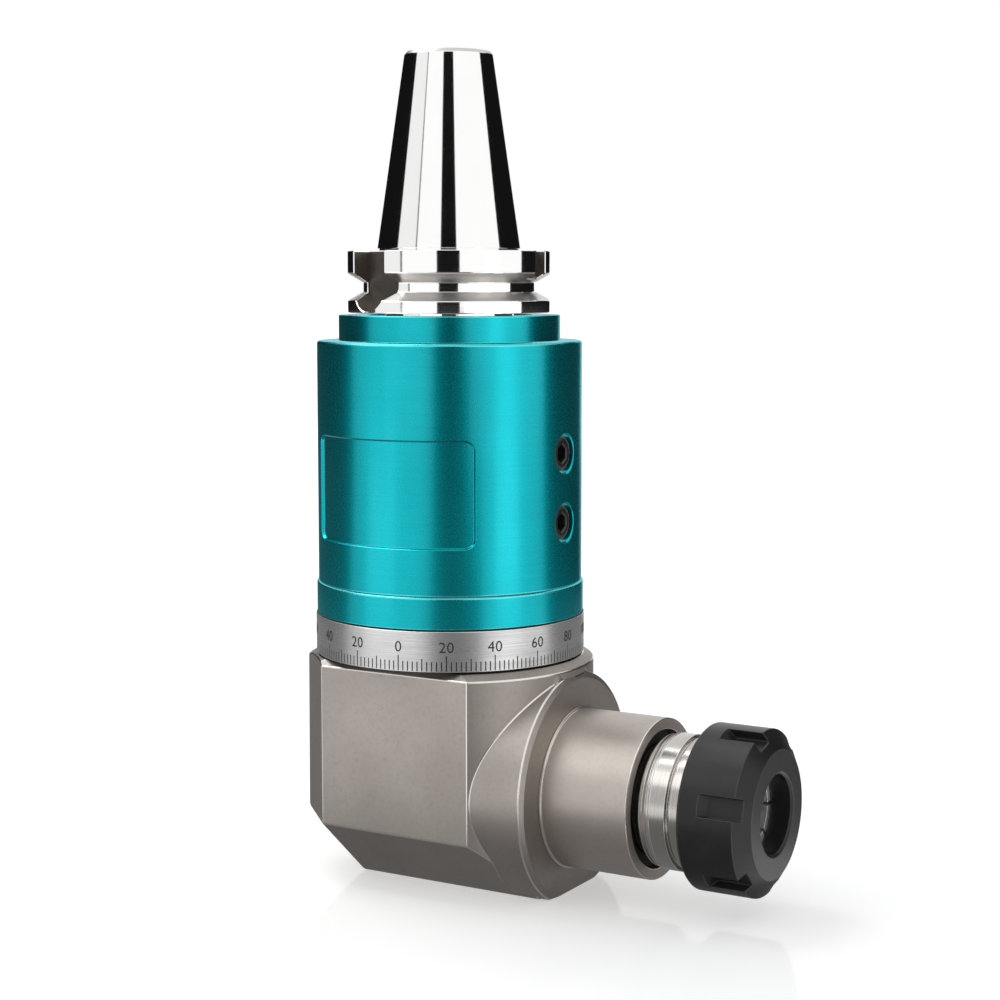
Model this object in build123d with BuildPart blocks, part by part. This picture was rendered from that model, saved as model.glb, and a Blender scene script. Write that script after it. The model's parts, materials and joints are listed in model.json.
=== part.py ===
from build123d import *
from math import cos, pi, radians, sin, sqrt, tan
import os

os.makedirs("parts", exist_ok=True)

# A right-angle milling head with a 40-size steep taper shank and a collet spindle.
# Origin: centre of the flat base. +Z is the input axis, +X is the output axis.
# All sizes are in millimetres.

# Case
axis_height = 32.0
case_radius = 45.5
case_height = 71.0
case_top_chamfer = 3.4
case_top_drop = 2.0
case_flat_offset = 36.0
flat_top_bevel = 2.0
base_half_width = 17.0
base_rear_edge = 22.25
corner_base_distance = 27.75
corner_flat_distance = 43.1
nose_flange_radius = 35.7
nose_flange_start = 33.5
nose_flange_face = 46.0
nose_flange_chamfer = 1.0
nose_flange_bevel = 1.9
sleeve_wall = 3.5
sleeve_face = 74.9
sleeve_chamfer = 0.8
sleeve_spigot_step = 0.9
sleeve_spigot_end = 37.0
gear_chamber_radius = 25.0
gear_chamber_rear = 14.0
gear_chamber_front = 36.0

# Swivel joint between the case and the upper body
quill_wall = 5.0
spigot_wall = 2.0
spigot_thread_step = 2.0
swivel_collar_width = 4.7
swivel_collar_height = 5.0
retainer_step = 0.8
retainer_height = 7.95
retainer_hole_radius = 1.0
running_gap = 0.05
seat_gap = 0.02
spanner_hole_radius = 2.0
spanner_hole_depth = 4.0

# Graduated ring, lock ring and body shell
ring_gap = 0.15
shell_wall = 9.0
scale_ring_step = 0.9
scale_ring_height = 12.95
lock_ring_step = 0.55
lock_ring_height = 9.75
shell_height = 75.25
shell_top_chamfer = 1.0
collar_wall = 8.65
collar_height = 7.95
collar_chamfer = 0.5
fine_chamfer = 0.25

# Recessed panel on the front of the shell
panel_centre_rise = 30.45
panel_half_width = 28.0
panel_height = 32.6
panel_depth = 0.8
panel_corner_radius = 3.0

# Socket screws that hold the shell on the quill
screw_centre_rise = 30.65
screw_row_height = 21.2
screw_radius = 3.0
screw_head_radius = 5.0
screw_head_height = 6.0
screw_head_recess = 1.0
screw_end_gap = 1.0
screw_hex = 5.0
screw_hex_depth = 3.0
counterbore_radius = 5.5
counterbore_chamfer = 0.6

# Input bearings, 30 x 55 x 13
input_seat_radius = 15.0
input_ring_radius = 27.5
input_bearing_width = 13.0
input_ball_radius = 3.57
input_ball_count = 14
input_pair_below_shell_top = 8.1
input_single_above_case = 9.0
input_bore_shoulder = 3.0

# Nose bearings, 25 x 42 x 9
nose_seat_radius = 12.5
nose_ring_radius = 21.0
nose_bearing_width = 9.0
nose_ball_radius = 2.5
nose_ball_count = 14
nose_pair_rear = 45.0
nose_bore_shoulder = 1.5

# Tail bearing, 12 x 24 x 6
tail_seat_radius = 6.0
tail_ring_radius = 12.0
tail_bearing_width = 6.0
tail_ball_radius = 1.59
tail_ball_count = 11
tail_bearing_front = 22.0
preload_washer_thickness = 0.8
tail_relief_radius = 9.0
tail_relief_depth = 1.7

race_shoulder = 0.62
ball_gap = 0.06
cage_pocket_gap = 0.15
cage_wall = 0.9

# Taper shank, 7:24 with a 44.45 gauge diameter
gauge_radius = 22.225
taper_slope = 7.0 / 48.0
gauge_above_flange = 3.2
taper_length = 58.35
taper_relief_radius = 21.6
taper_relief_height = 2.2
taper_end_chamfer = 1.6
flange_gap = 0.6
flange_thickness = 18.45
flange_radius = 31.775
flange_edge_chamfer = 0.4
groove_radius = 28.125
groove_flat = 3.75
groove_centre = 10.25
groove_half_angle = 30.0
neck_radius = 20.0
drive_slot_width = 16.1
drive_slot_floor = 25.0
far_slot_floor = 22.8
drive_slot_end = 0.5
drive_slot_angle = -111.0
notch_angle = 3.5
notch_width = 7.0
notch_depth = 3.2
stud_thread_radius = 6.92
stud_thread_length = 27.0
stud_pilot_radius = 8.5
stud_pilot_depth = 7.0
stud_pilot_chamfer = 0.8
draw_bore_radius = 6.7
draw_screw_radius = 4.0
draw_screw_seat_rise = 40.0
draw_screw_head_radius = 6.5
draw_screw_head_height = 8.0
draw_screw_hex = 6.0
draw_screw_hex_depth = 4.0
draw_screw_grip = 12.0
draw_screw_room = 0.5
stem_end_room = 1.0

# Straight bevel gears, 1:1
gear_module = 2.0
gear_teeth = 22
gear_face = 9.0
gear_addendum = 1.6
gear_dedendum = 2.2
gear_pressure_angle = 22.0
gear_thinning = 0.2
gear_root_rim = 2.64
cutter_outer_share = 1.2
cutter_inner_share = 0.6
gear_toe_face = 16.0
gear_hub_end = 32.0
gear_back = 25.1
pinion_hub_radius = 14.0
output_hub_radius = 14.5

# Pinion stem and keys
stem_radius = 8.0
stem_length = 36.0
stem_thread_depth = 22.0
key_size = 5.0
key_in_shaft = 3.0
pinion_key_length = 16.0
pinion_key_start = 10.0
gear_key_length = 10.0
gear_key_setback = 3.0
keyway_clearance = 0.3

# Locknuts and lock washers
input_locknut_radius = 22.5
input_locknut_height = 7.0
spindle_locknut_radius = 19.0
spindle_locknut_height = 7.0
gear_locknut_radius = 13.5
gear_locknut_height = 6.0
lock_washer_thickness = 1.0
lock_washer_land = 5.0
locknut_slot_width = 5.0
locknut_slot_depth = 2.0

# Output spindle
spindle_tail_end = 29.5
spindle_waist_radius = 8.5
gear_seat_start = 9.0
gear_seat_radius = 10.0
spindle_shoulder_radius = 15.0
spindle_shoulder_end = 73.3
spindle_throat_radius = 17.0
spindle_throat_end = 76.5
nose_ring_lip_radius = 19.8
nose_ring_start = 80.0
nose_line_width = 0.4
nose_line_depth = 0.5
nose_land_radius = 20.6
nose_land_end = 85.4
nose_groove_radius = 19.2
nose_groove_end = 86.9
nose_rear_ring_radius = 20.3
nose_thread_start = 90.6
nose_thread_radius = 19.95
spindle_face = 99.0
spindle_bore_radius = 8.0
spindle_bore_start = 35.0

# Snap ring and seals
snap_ring_width = 1.75
snap_ring_inner_radius = 17.5
snap_groove_depth = 1.25
nose_seal_width = 7.0
nose_seal_front = 2.4
input_seal_width = 7.0
input_seal_radius = 26.0
seal_seat_depth = 11.55
seal_shell = 1.0
seal_lip_gap = 0.03

# Collet, 33 mm head and 8 degree cone
collet_face = 105.0
collet_length = 40.0
collet_bore_radius = 10.0
collet_head_radius = 16.5
collet_front_radius = 14.5
collet_front_angle = 30.0
collet_groove_radius = 15.0
collet_groove_width = 2.0
collet_cone_angle = 8.0
collet_slit = 1.0
collet_slit_pairs = 4
collet_rear_bridge = 6.0
collet_front_bridge = 9.0
collet_gap = 0.03
collet_rear_room = 1.0

# Clamping nut
nut_rear = 91.0
nut_radius = 25.0
nut_rear_chamfer = 0.6
nut_chamfer_start = 108.7
nut_face = 112.3
nut_face_radius = 19.2
nut_bore_radius = 11.9
nut_bore_chamfer = 0.7
nut_thread_radius = 20.05
nut_thread_end = 99.7
nut_lip_radius = 15.6
nut_slot_count = 6
nut_slot_width = 6.5
nut_slot_floor = 22.0
nut_slot_start = 97.5
nut_slot_runout = 2.5
nut_slot_angle = 45.0
nut_slot_overcut = 1.0
nut_cone_gap = 0.06

# Grease plug on the far side of the case
plug_radius = 4.0
plug_length = 8.0
plug_recess = 0.5
plug_hex = 4.0
plug_hex_depth = 4.0
plug_offset = 8.0

# Key between the quill and the graduated ring
scale_key_width = 4.0
scale_key_height = 10.0
scale_key_in_quill = 2.0
scale_key_in_ring = 2.0

# Radii that follow from the bearings and the walls around them
input_bore_shoulder_radius = input_ring_radius - input_bore_shoulder
quill_radius = input_ring_radius + quill_wall
spigot_end_radius = input_bore_shoulder_radius + spigot_wall
spigot_radius = spigot_end_radius + spigot_thread_step
swivel_collar_radius = spigot_end_radius + swivel_collar_width
retainer_radius = swivel_collar_radius + retainer_step
shell_radius = quill_radius + shell_wall
scale_ring_radius = shell_radius + scale_ring_step
lock_ring_radius = shell_radius + lock_ring_step
collar_radius = input_seal_radius + collar_wall
nose_bore_shoulder_radius = nose_ring_radius - nose_bore_shoulder
sleeve_radius = nose_ring_radius + sleeve_wall
sleeve_spigot_radius = sleeve_radius - sleeve_spigot_step

# Heights that follow from the sizes above
swivel_seat = case_height - retainer_height - swivel_collar_height - 2 * running_gap
quill_bottom = swivel_seat + running_gap
retainer_bottom = case_height - retainer_height
scale_ring_bottom = case_height + ring_gap
lock_ring_bottom = scale_ring_bottom + scale_ring_height
shell_bottom = lock_ring_bottom + lock_ring_height
shell_top = shell_bottom + shell_height
collar_top = shell_top + collar_height
flange_bottom = collar_top + flange_gap
flange_top = flange_bottom + flange_thickness
gauge_height = flange_top + gauge_above_flange
shank_top = gauge_height + taper_length
panel_centre_height = shell_bottom + panel_centre_rise
screw_centre_height = shell_bottom + screw_centre_rise
input_pair_top = shell_top - input_pair_below_shell_top
input_single_bottom = case_height + input_single_above_case
input_pair_middle = input_pair_top - input_bearing_width
input_pair_bottom = input_pair_middle - input_bearing_width
input_single_top = input_single_bottom + input_bearing_width
input_washer_bottom = input_single_bottom - lock_washer_thickness
pinion_hub_top = axis_height + gear_hub_end
stem_top = pinion_hub_top + stem_length
draw_screw_seat = stem_top + draw_screw_seat_rise
nose_pair_front = nose_pair_rear + 2 * nose_bearing_width
tail_bearing_rear = tail_bearing_front + tail_bearing_width
input_bearing_centres = [
    input_single_bottom + input_bearing_width / 2,
    input_pair_bottom + input_bearing_width / 2,
    input_pair_middle + input_bearing_width / 2,
]
nose_bearing_centres = [
    nose_pair_rear + nose_bearing_width / 2,
    nose_pair_rear + nose_bearing_width * 3 / 2,
]
tail_bearing_centre = -(tail_bearing_front + tail_bearing_width / 2)
output_axis = Axis((0, 0, axis_height), (1, 0, 0))


def nose_plane(x):
    """The plane square to the output axis at x, with local x along +Y and local y up."""
    return Plane(origin=(x, 0, axis_height), x_dir=(0, 1, 0), z_dir=(1, 0, 0))


def radial_plane(angle, distance, height):
    """The plane that faces outwards from the input axis, with local y up."""
    facing = (cos(radians(angle)), sin(radians(angle)), 0)
    along = (-sin(radians(angle)), cos(radians(angle)), 0)
    origin = (distance * facing[0], distance * facing[1], height)
    return Plane(origin=origin, x_dir=along, z_dir=facing)


def upright_plane(angle):
    """The plane through the input axis whose local x points outwards at the angle, with local y up."""
    outwards = (cos(radians(angle)), sin(radians(angle)), 0)
    across = (sin(radians(angle)), -cos(radians(angle)), 0)
    return Plane(origin=(0, 0, 0), x_dir=outwards, z_dir=across)


def upright_ring(inner, outer, bottom, height, mode=Mode.ADD):
    """Half section of a ring about the input axis."""
    Polygon((inner, bottom), (outer, bottom), (outer, bottom + height), (inner, bottom + height),
            align=None, mode=mode)


def rimmed_ring(inner, outer, bottom, height):
    """Half section of a ring about the input axis with its outer corners broken."""
    Polygon((inner, bottom), (outer - fine_chamfer, bottom), (outer, bottom + fine_chamfer),
            (outer, bottom + height - fine_chamfer), (outer - fine_chamfer, bottom + height),
            (inner, bottom + height), align=None)


def nose_outline(points, mode=Mode.ADD):
    """Half section about the output axis from pairs of distance and radius."""
    Polygon(*[(x, axis_height + r) for x, r in points], align=None, mode=mode)


def nose_ring(inner, outer, start, length, mode=Mode.ADD):
    """Half section of a ring about the output axis."""
    nose_outline([(start, inner), (start + length, inner), (start + length, outer), (start, outer)], mode)


def pitch_radius(seat, ring):
    """Radius of the circle that a bearing's balls run on."""
    return (seat + ring) / 2


def race_step(ball):
    """Distance from the ball circle to the shoulders of the races."""
    return race_shoulder * ball


# Case with its round nose flange
with BuildPart() as angle_housing:
    with BuildSketch(Plane.XZ):
        Polygon((0, 0), (case_radius, 0), (case_radius, case_height - case_top_drop),
                (case_radius - case_top_chamfer, case_height), (0, case_height), align=None)
    revolve(axis=Axis.Z)
    with BuildSketch(Plane.XZ):
        nose_ring(0, nose_flange_radius, 0, nose_flange_start)
    revolve(axis=output_axis)
    with BuildSketch(Plane.YZ):
        Polygon((flat_top_bevel - case_flat_offset, case_height),
                (-case_flat_offset, case_height - case_top_drop),
                (-case_flat_offset, case_flat_offset - base_half_width),
                (-base_half_width, 0), (base_half_width, 0),
                (case_flat_offset, case_flat_offset - base_half_width),
                (case_flat_offset, case_height - case_top_drop),
                (case_flat_offset - flat_top_bevel, case_height), align=None)
    extrude(amount=case_radius, both=True, mode=Mode.INTERSECT)
    with BuildSketch(Plane.XZ):
        nose_outline([
            (nose_flange_start, 0), (nose_flange_start, nose_flange_radius),
            (nose_flange_face - nose_flange_chamfer, nose_flange_radius),
            (nose_flange_face, nose_flange_radius - nose_flange_bevel), (nose_flange_face, 0),
        ])
    revolve(axis=output_axis)
    with BuildSketch(Plane.XZ):
        Polygon((-base_rear_edge, 0), (-base_rear_edge - case_height, case_height),
                (-2 * case_radius, case_height), (-2 * case_radius, -case_height),
                (2 * case_radius, -case_height), (2 * case_radius, 0), align=None)
    extrude(amount=2 * case_radius, both=True, mode=Mode.SUBTRACT)
    for angle in (135, 225):
        with BuildSketch(upright_plane(angle)):
            Polygon((corner_base_distance, 0),
                    (corner_flat_distance, case_flat_offset - base_half_width),
                    (corner_flat_distance, case_height), (2 * case_radius, case_height),
                    (2 * case_radius, -case_height), (corner_base_distance, -case_height), align=None)
        extrude(amount=2 * case_radius, both=True, mode=Mode.SUBTRACT)
    with BuildSketch(Plane.XZ):
        Polygon((0, axis_height), (gear_chamber_radius, axis_height), (gear_chamber_radius, swivel_seat),
                (swivel_collar_radius + running_gap, swivel_seat),
                (swivel_collar_radius + running_gap, retainer_bottom),
                (retainer_radius, retainer_bottom), (retainer_radius, case_height), (0, case_height),
                align=None)
    revolve(axis=Axis.Z, mode=Mode.SUBTRACT)
    with BuildSketch(Plane.XZ):
        nose_outline([
            (-(tail_bearing_rear + preload_washer_thickness + tail_relief_depth), 0),
            (-(tail_bearing_rear + preload_washer_thickness + tail_relief_depth), tail_relief_radius),
            (-(tail_bearing_rear + preload_washer_thickness), tail_relief_radius),
            (-(tail_bearing_rear + preload_washer_thickness), tail_ring_radius),
            (-gear_chamber_rear, tail_ring_radius),
            (-gear_chamber_rear, gear_chamber_radius),
            (gear_chamber_front, gear_chamber_radius),
            (gear_chamber_front, sleeve_spigot_radius),
            (nose_flange_face, sleeve_spigot_radius),
            (nose_flange_face, 0),
        ])
    revolve(axis=output_axis, mode=Mode.SUBTRACT)
    with BuildSketch(Plane(origin=(plug_offset, case_flat_offset, axis_height),
                           x_dir=(1, 0, 0), z_dir=(0, -1, 0))):
        Circle(plug_radius)
    extrude(amount=case_flat_offset - gear_chamber_radius / 2, mode=Mode.SUBTRACT)
angle_housing.part.label = "angle_housing"
export_step(angle_housing.part, "parts/angle_housing.step")

# Bearing sleeve, whose spigot is pressed into the nose flange
with BuildPart() as bearing_sleeve:
    with BuildSketch(Plane.XZ):
        nose_outline([
            (sleeve_spigot_end, nose_bore_shoulder_radius), (sleeve_spigot_end, sleeve_spigot_radius),
            (nose_flange_face, sleeve_spigot_radius), (nose_flange_face, sleeve_radius),
            (sleeve_face - sleeve_chamfer, sleeve_radius), (sleeve_face, sleeve_radius - sleeve_chamfer),
            (sleeve_face, nose_ring_radius + fine_chamfer),
            (sleeve_face - fine_chamfer, nose_ring_radius),
            (nose_pair_front + snap_ring_width, nose_ring_radius),
            (nose_pair_front + snap_ring_width, nose_ring_radius + snap_groove_depth),
            (nose_pair_front, nose_ring_radius + snap_groove_depth), (nose_pair_front, nose_ring_radius),
            (nose_pair_rear, nose_ring_radius), (nose_pair_rear, nose_bore_shoulder_radius),
        ])
    revolve(axis=output_axis)
bearing_sleeve.part.label = "bearing_sleeve"
export_step(bearing_sleeve.part, "parts/bearing_sleeve.step")

# Threaded ring that holds the swivel collar down in the case
with BuildPart() as swivel_retainer:
    with BuildSketch(Plane.XZ):
        upright_ring(spigot_radius + 2 * running_gap, retainer_radius, retainer_bottom, retainer_height)
    revolve(axis=Axis.Z)
    with BuildSketch(Plane.XY.offset(case_height)):
        with PolarLocations((spigot_radius + retainer_radius) / 2, 2, start_angle=45):
            Circle(retainer_hole_radius)
    extrude(amount=-spanner_hole_depth, mode=Mode.SUBTRACT)
swivel_retainer.part.label = "swivel_retainer"
export_step(swivel_retainer.part, "parts/swivel_retainer.step")

# Hexagon socket plug of the grease filling hole
with BuildPart() as grease_plug:
    with BuildSketch(Plane(origin=(plug_offset, case_flat_offset - plug_recess, axis_height),
                           x_dir=(1, 0, 0), z_dir=(0, -1, 0))):
        Circle(plug_radius - seat_gap)
    extrude(amount=plug_length)
    chamfer(grease_plug.edges(), fine_chamfer)
    with BuildSketch(Plane(origin=(plug_offset, case_flat_offset - plug_recess, axis_height),
                           x_dir=(1, 0, 0), z_dir=(0, -1, 0))):
        RegularPolygon(plug_hex / 2, 6, major_radius=False)
    extrude(amount=plug_hex_depth, mode=Mode.SUBTRACT)
grease_plug.part.label = "grease_plug"
export_step(grease_plug.part, "parts/grease_plug.step")

# Quill: the steel tube that carries the input bearings and turns in the case
with BuildPart() as bearing_quill:
    with BuildSketch(Plane.XZ):
        Polygon((input_bore_shoulder_radius, quill_bottom), (spigot_end_radius, quill_bottom),
                (spigot_end_radius, quill_bottom + swivel_collar_height),
                (spigot_radius, quill_bottom + swivel_collar_height),
                (spigot_radius, scale_ring_bottom), (quill_radius, scale_ring_bottom),
                (quill_radius, input_pair_top), (input_ring_radius, input_pair_top),
                (input_ring_radius, input_single_bottom),
                (input_bore_shoulder_radius, input_single_bottom), align=None)
    revolve(axis=Axis.Z)
    with BuildSketch(Plane.YZ):
        with Locations((0, screw_centre_height)):
            with GridLocations(0, screw_row_height, 1, 2):
                Circle(screw_radius)
    extrude(amount=quill_radius, mode=Mode.SUBTRACT)
    with BuildSketch(Plane.YZ.offset(-quill_radius - scale_key_in_ring)):
        with Locations((0, scale_ring_bottom + scale_ring_height / 2)):
            Rectangle(scale_key_width, scale_key_height)
    extrude(amount=scale_key_in_ring + scale_key_in_quill, mode=Mode.SUBTRACT)
bearing_quill.part.label = "bearing_quill"
export_step(bearing_quill.part, "parts/bearing_quill.step")

# Threaded collar at the quill's lower end, which turns under the retainer
with BuildPart() as swivel_collar:
    with BuildSketch(Plane.XZ):
        upright_ring(spigot_end_radius, swivel_collar_radius, quill_bottom, swivel_collar_height)
    revolve(axis=Axis.Z)
swivel_collar.part.label = "swivel_collar"
export_step(swivel_collar.part, "parts/swivel_collar.step")

# Graduated ring
with BuildPart() as graduated_ring:
    with BuildSketch(Plane.XZ):
        rimmed_ring(quill_radius + seat_gap, scale_ring_radius, scale_ring_bottom, scale_ring_height)
    revolve(axis=Axis.Z)
    with BuildSketch(Plane.YZ.offset(-quill_radius - scale_key_in_ring)):
        with Locations((0, scale_ring_bottom + scale_ring_height / 2)):
            Rectangle(scale_key_width, scale_key_height)
    extrude(amount=scale_key_in_ring + scale_key_in_quill, mode=Mode.SUBTRACT)
graduated_ring.part.label = "graduated_ring"
export_step(graduated_ring.part, "parts/graduated_ring.step")

# Feather key that stops the graduated ring from turning on the quill
with BuildPart() as scale_ring_key:
    with BuildSketch(Plane.YZ.offset(-quill_radius - scale_key_in_ring)):
        with Locations((0, scale_ring_bottom + scale_ring_height / 2)):
            Rectangle(scale_key_width, scale_key_height)
    extrude(amount=scale_key_in_ring + scale_key_in_quill)
scale_ring_key.part.label = "scale_ring_key"
export_step(scale_ring_key.part, "parts/scale_ring_key.step")

# Lock ring: a threaded ring that clamps the swivel through the graduated ring
with BuildPart() as lock_ring:
    with BuildSketch(Plane.XZ):
        rimmed_ring(quill_radius + seat_gap, lock_ring_radius, lock_ring_bottom, lock_ring_height)
    revolve(axis=Axis.Z)
    for angle in (90, 180):
        with BuildSketch(radial_plane(angle, lock_ring_radius, lock_ring_bottom + lock_ring_height / 2)):
            Circle(spanner_hole_radius)
        extrude(amount=-spanner_hole_depth, mode=Mode.SUBTRACT)
lock_ring.part.label = "lock_ring"
export_step(lock_ring.part, "parts/lock_ring.step")

# Rounded window that bounds the recessed panel, deeper than the panel
with BuildPart() as panel_window:
    with BuildSketch(Plane.XZ):
        with Locations((0, panel_centre_height)):
            RectangleRounded(2 * panel_half_width, panel_height, panel_corner_radius)
    extrude(amount=shell_radius + panel_depth)
    with BuildSketch(Plane.XY.offset(shell_bottom)):
        Circle(shell_radius - panel_depth)
    extrude(amount=shell_height, mode=Mode.SUBTRACT)

# Body shell with the collar under the flange
with BuildPart() as body_shell:
    with BuildSketch(Plane.XZ):
        Polygon((quill_radius + seat_gap, shell_bottom), (shell_radius, shell_bottom),
                (shell_radius, shell_top - shell_top_chamfer),
                (shell_radius - shell_top_chamfer, shell_top),
                (collar_radius, shell_top), (collar_radius, collar_top - collar_chamfer),
                (collar_radius - collar_chamfer, collar_top),
                (input_seal_radius, collar_top), (input_seal_radius, collar_top - seal_seat_depth),
                (input_bore_shoulder_radius, collar_top - seal_seat_depth),
                (input_bore_shoulder_radius, input_pair_top),
                (quill_radius + seat_gap, input_pair_top), align=None)
    revolve(axis=Axis.Z)
    add(panel_window.part, mode=Mode.SUBTRACT)
    with Locations(Plane.YZ.offset(shell_radius)):
        with Locations((0, screw_centre_height)):
            with GridLocations(0, screw_row_height, 1, 2):
                CounterBoreHole(screw_radius + seat_gap, counterbore_radius,
                                screw_head_height + screw_head_recess, depth=shell_radius - screw_head_radius)
    mouth_depth = shell_radius - sqrt(shell_radius**2 - counterbore_radius**2) + counterbore_chamfer
    with Locations(Plane.YZ.offset(shell_radius - mouth_depth)):
        with Locations((0, screw_centre_height)):
            with GridLocations(0, screw_row_height, 1, 2):
                Cone(counterbore_radius, counterbore_radius + mouth_depth, mouth_depth,
                     align=(Align.CENTER, Align.CENTER, Align.MIN), mode=Mode.SUBTRACT)
body_shell.part.label = "body_shell"
export_step(body_shell.part, "parts/body_shell.step")

# Two socket head screws through the shell into the quill
head_seat = shell_radius - screw_head_recess - screw_head_height
screw_reach = head_seat - input_ring_radius - screw_end_gap
with BuildPart() as body_screws:
    with BuildSketch(Plane.YZ.offset(head_seat)):
        with Locations((0, screw_centre_height)):
            with GridLocations(0, screw_row_height, 1, 2):
                Circle(screw_head_radius)
    extrude(amount=screw_head_height)
    chamfer(body_screws.edges().group_by(Axis.X)[-1], 2 * fine_chamfer)
    with BuildSketch(Plane.YZ.offset(head_seat - screw_reach)):
        with Locations((0, screw_centre_height)):
            with GridLocations(0, screw_row_height, 1, 2):
                Circle(screw_radius - seat_gap)
    extrude(amount=screw_reach)
    with BuildSketch(Plane.YZ.offset(head_seat + screw_head_height)):
        with Locations((0, screw_centre_height)):
            with GridLocations(0, screw_row_height, 1, 2):
                RegularPolygon(screw_hex / 2, 6, major_radius=False)
    extrude(amount=-screw_hex_depth, mode=Mode.SUBTRACT)
body_screws.part.label = "body_screws"
export_step(body_screws.part, "parts/body_screws.step")

# Outer rings of the input bearings
input_pitch = pitch_radius(input_seat_radius, input_ring_radius)
input_step = race_step(input_ball_radius)
with BuildPart() as input_bearing_outer_rings:
    with BuildSketch(Plane.XZ):
        for bottom in (input_single_bottom, input_pair_bottom, input_pair_middle):
            upright_ring(input_pitch + input_step, input_ring_radius - seat_gap,
                         bottom + seat_gap, input_bearing_width - 2 * seat_gap)
    revolve(axis=Axis.Z)
    for centre in input_bearing_centres:
        with Locations((0, 0, centre)):
            Torus(input_pitch, input_ball_radius + ball_gap, mode=Mode.SUBTRACT)
input_bearing_outer_rings.part.label = "input_bearing_outer_rings"
export_step(input_bearing_outer_rings.part, "parts/input_bearing_outer_rings.step")

# Inner rings of the input bearings
with BuildPart() as input_bearing_inner_rings:
    with BuildSketch(Plane.XZ):
        for bottom in (input_single_bottom, input_pair_bottom, input_pair_middle):
            upright_ring(input_seat_radius + seat_gap, input_pitch - input_step,
                         bottom + seat_gap, input_bearing_width - 2 * seat_gap)
    revolve(axis=Axis.Z)
    for centre in input_bearing_centres:
        with Locations((0, 0, centre)):
            Torus(input_pitch, input_ball_radius + ball_gap, mode=Mode.SUBTRACT)
input_bearing_inner_rings.part.label = "input_bearing_inner_rings"
export_step(input_bearing_inner_rings.part, "parts/input_bearing_inner_rings.step")

# Balls of the input bearings
with BuildPart() as input_bearing_balls:
    for centre in input_bearing_centres:
        with Locations((0, 0, centre)):
            with PolarLocations(input_pitch, input_ball_count):
                Sphere(input_ball_radius)
input_bearing_balls.part.label = "input_bearing_balls"
export_step(input_bearing_balls.part, "parts/input_bearing_balls.step")

# Cages of the input bearings
input_pocket = input_ball_radius + cage_pocket_gap
with BuildPart() as input_bearing_cages:
    with BuildSketch(Plane.XZ):
        for centre in input_bearing_centres:
            upright_ring(input_pitch - input_step / 2, input_pitch + input_step / 2,
                         centre - input_pocket - cage_wall, 2 * (input_pocket + cage_wall))
    revolve(axis=Axis.Z)
    for centre in input_bearing_centres:
        with Locations((0, 0, centre)):
            with PolarLocations(input_pitch, input_ball_count):
                Cylinder(input_pocket, 2 * input_step, rotation=(0, 90, 0), mode=Mode.SUBTRACT)
input_bearing_cages.part.label = "input_bearing_cages"
export_step(input_bearing_cages.part, "parts/input_bearing_cages.step")

# Sleeve between the outer rings
with BuildPart() as input_outer_spacer:
    with BuildSketch(Plane.XZ):
        upright_ring(input_pitch + input_step, input_ring_radius - seat_gap,
                     input_single_top, input_pair_bottom - input_single_top)
    revolve(axis=Axis.Z)
input_outer_spacer.part.label = "input_outer_spacer"
export_step(input_outer_spacer.part, "parts/input_outer_spacer.step")

# Sleeve between the inner rings
with BuildPart() as input_inner_spacer:
    with BuildSketch(Plane.XZ):
        upright_ring(input_seat_radius + seat_gap, input_pitch - input_step,
                     input_single_top, input_pair_bottom - input_single_top)
    revolve(axis=Axis.Z)
input_inner_spacer.part.label = "input_inner_spacer"
export_step(input_inner_spacer.part, "parts/input_inner_spacer.step")

# Lip seal between the collar and the shank
with BuildPart() as input_seal:
    seal_bottom = collar_top - seal_seat_depth
    with BuildSketch(Plane.XZ):
        Polygon((input_seal_radius - seat_gap, seal_bottom),
                (input_seal_radius - seat_gap, seal_bottom + input_seal_width),
                (neck_radius + 2 * seal_shell, seal_bottom + input_seal_width),
                (neck_radius + seal_lip_gap, seal_bottom + input_seal_width - seal_shell),
                (neck_radius + 2 * seal_shell, seal_bottom + input_seal_width - 2 * seal_shell),
                (input_seal_radius - 2 * seal_shell, seal_bottom + input_seal_width - 2 * seal_shell),
                (input_seal_radius - 2 * seal_shell, seal_bottom), align=None)
    revolve(axis=Axis.Z)
input_seal.part.label = "input_seal"
export_step(input_seal.part, "parts/input_seal.step")

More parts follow.
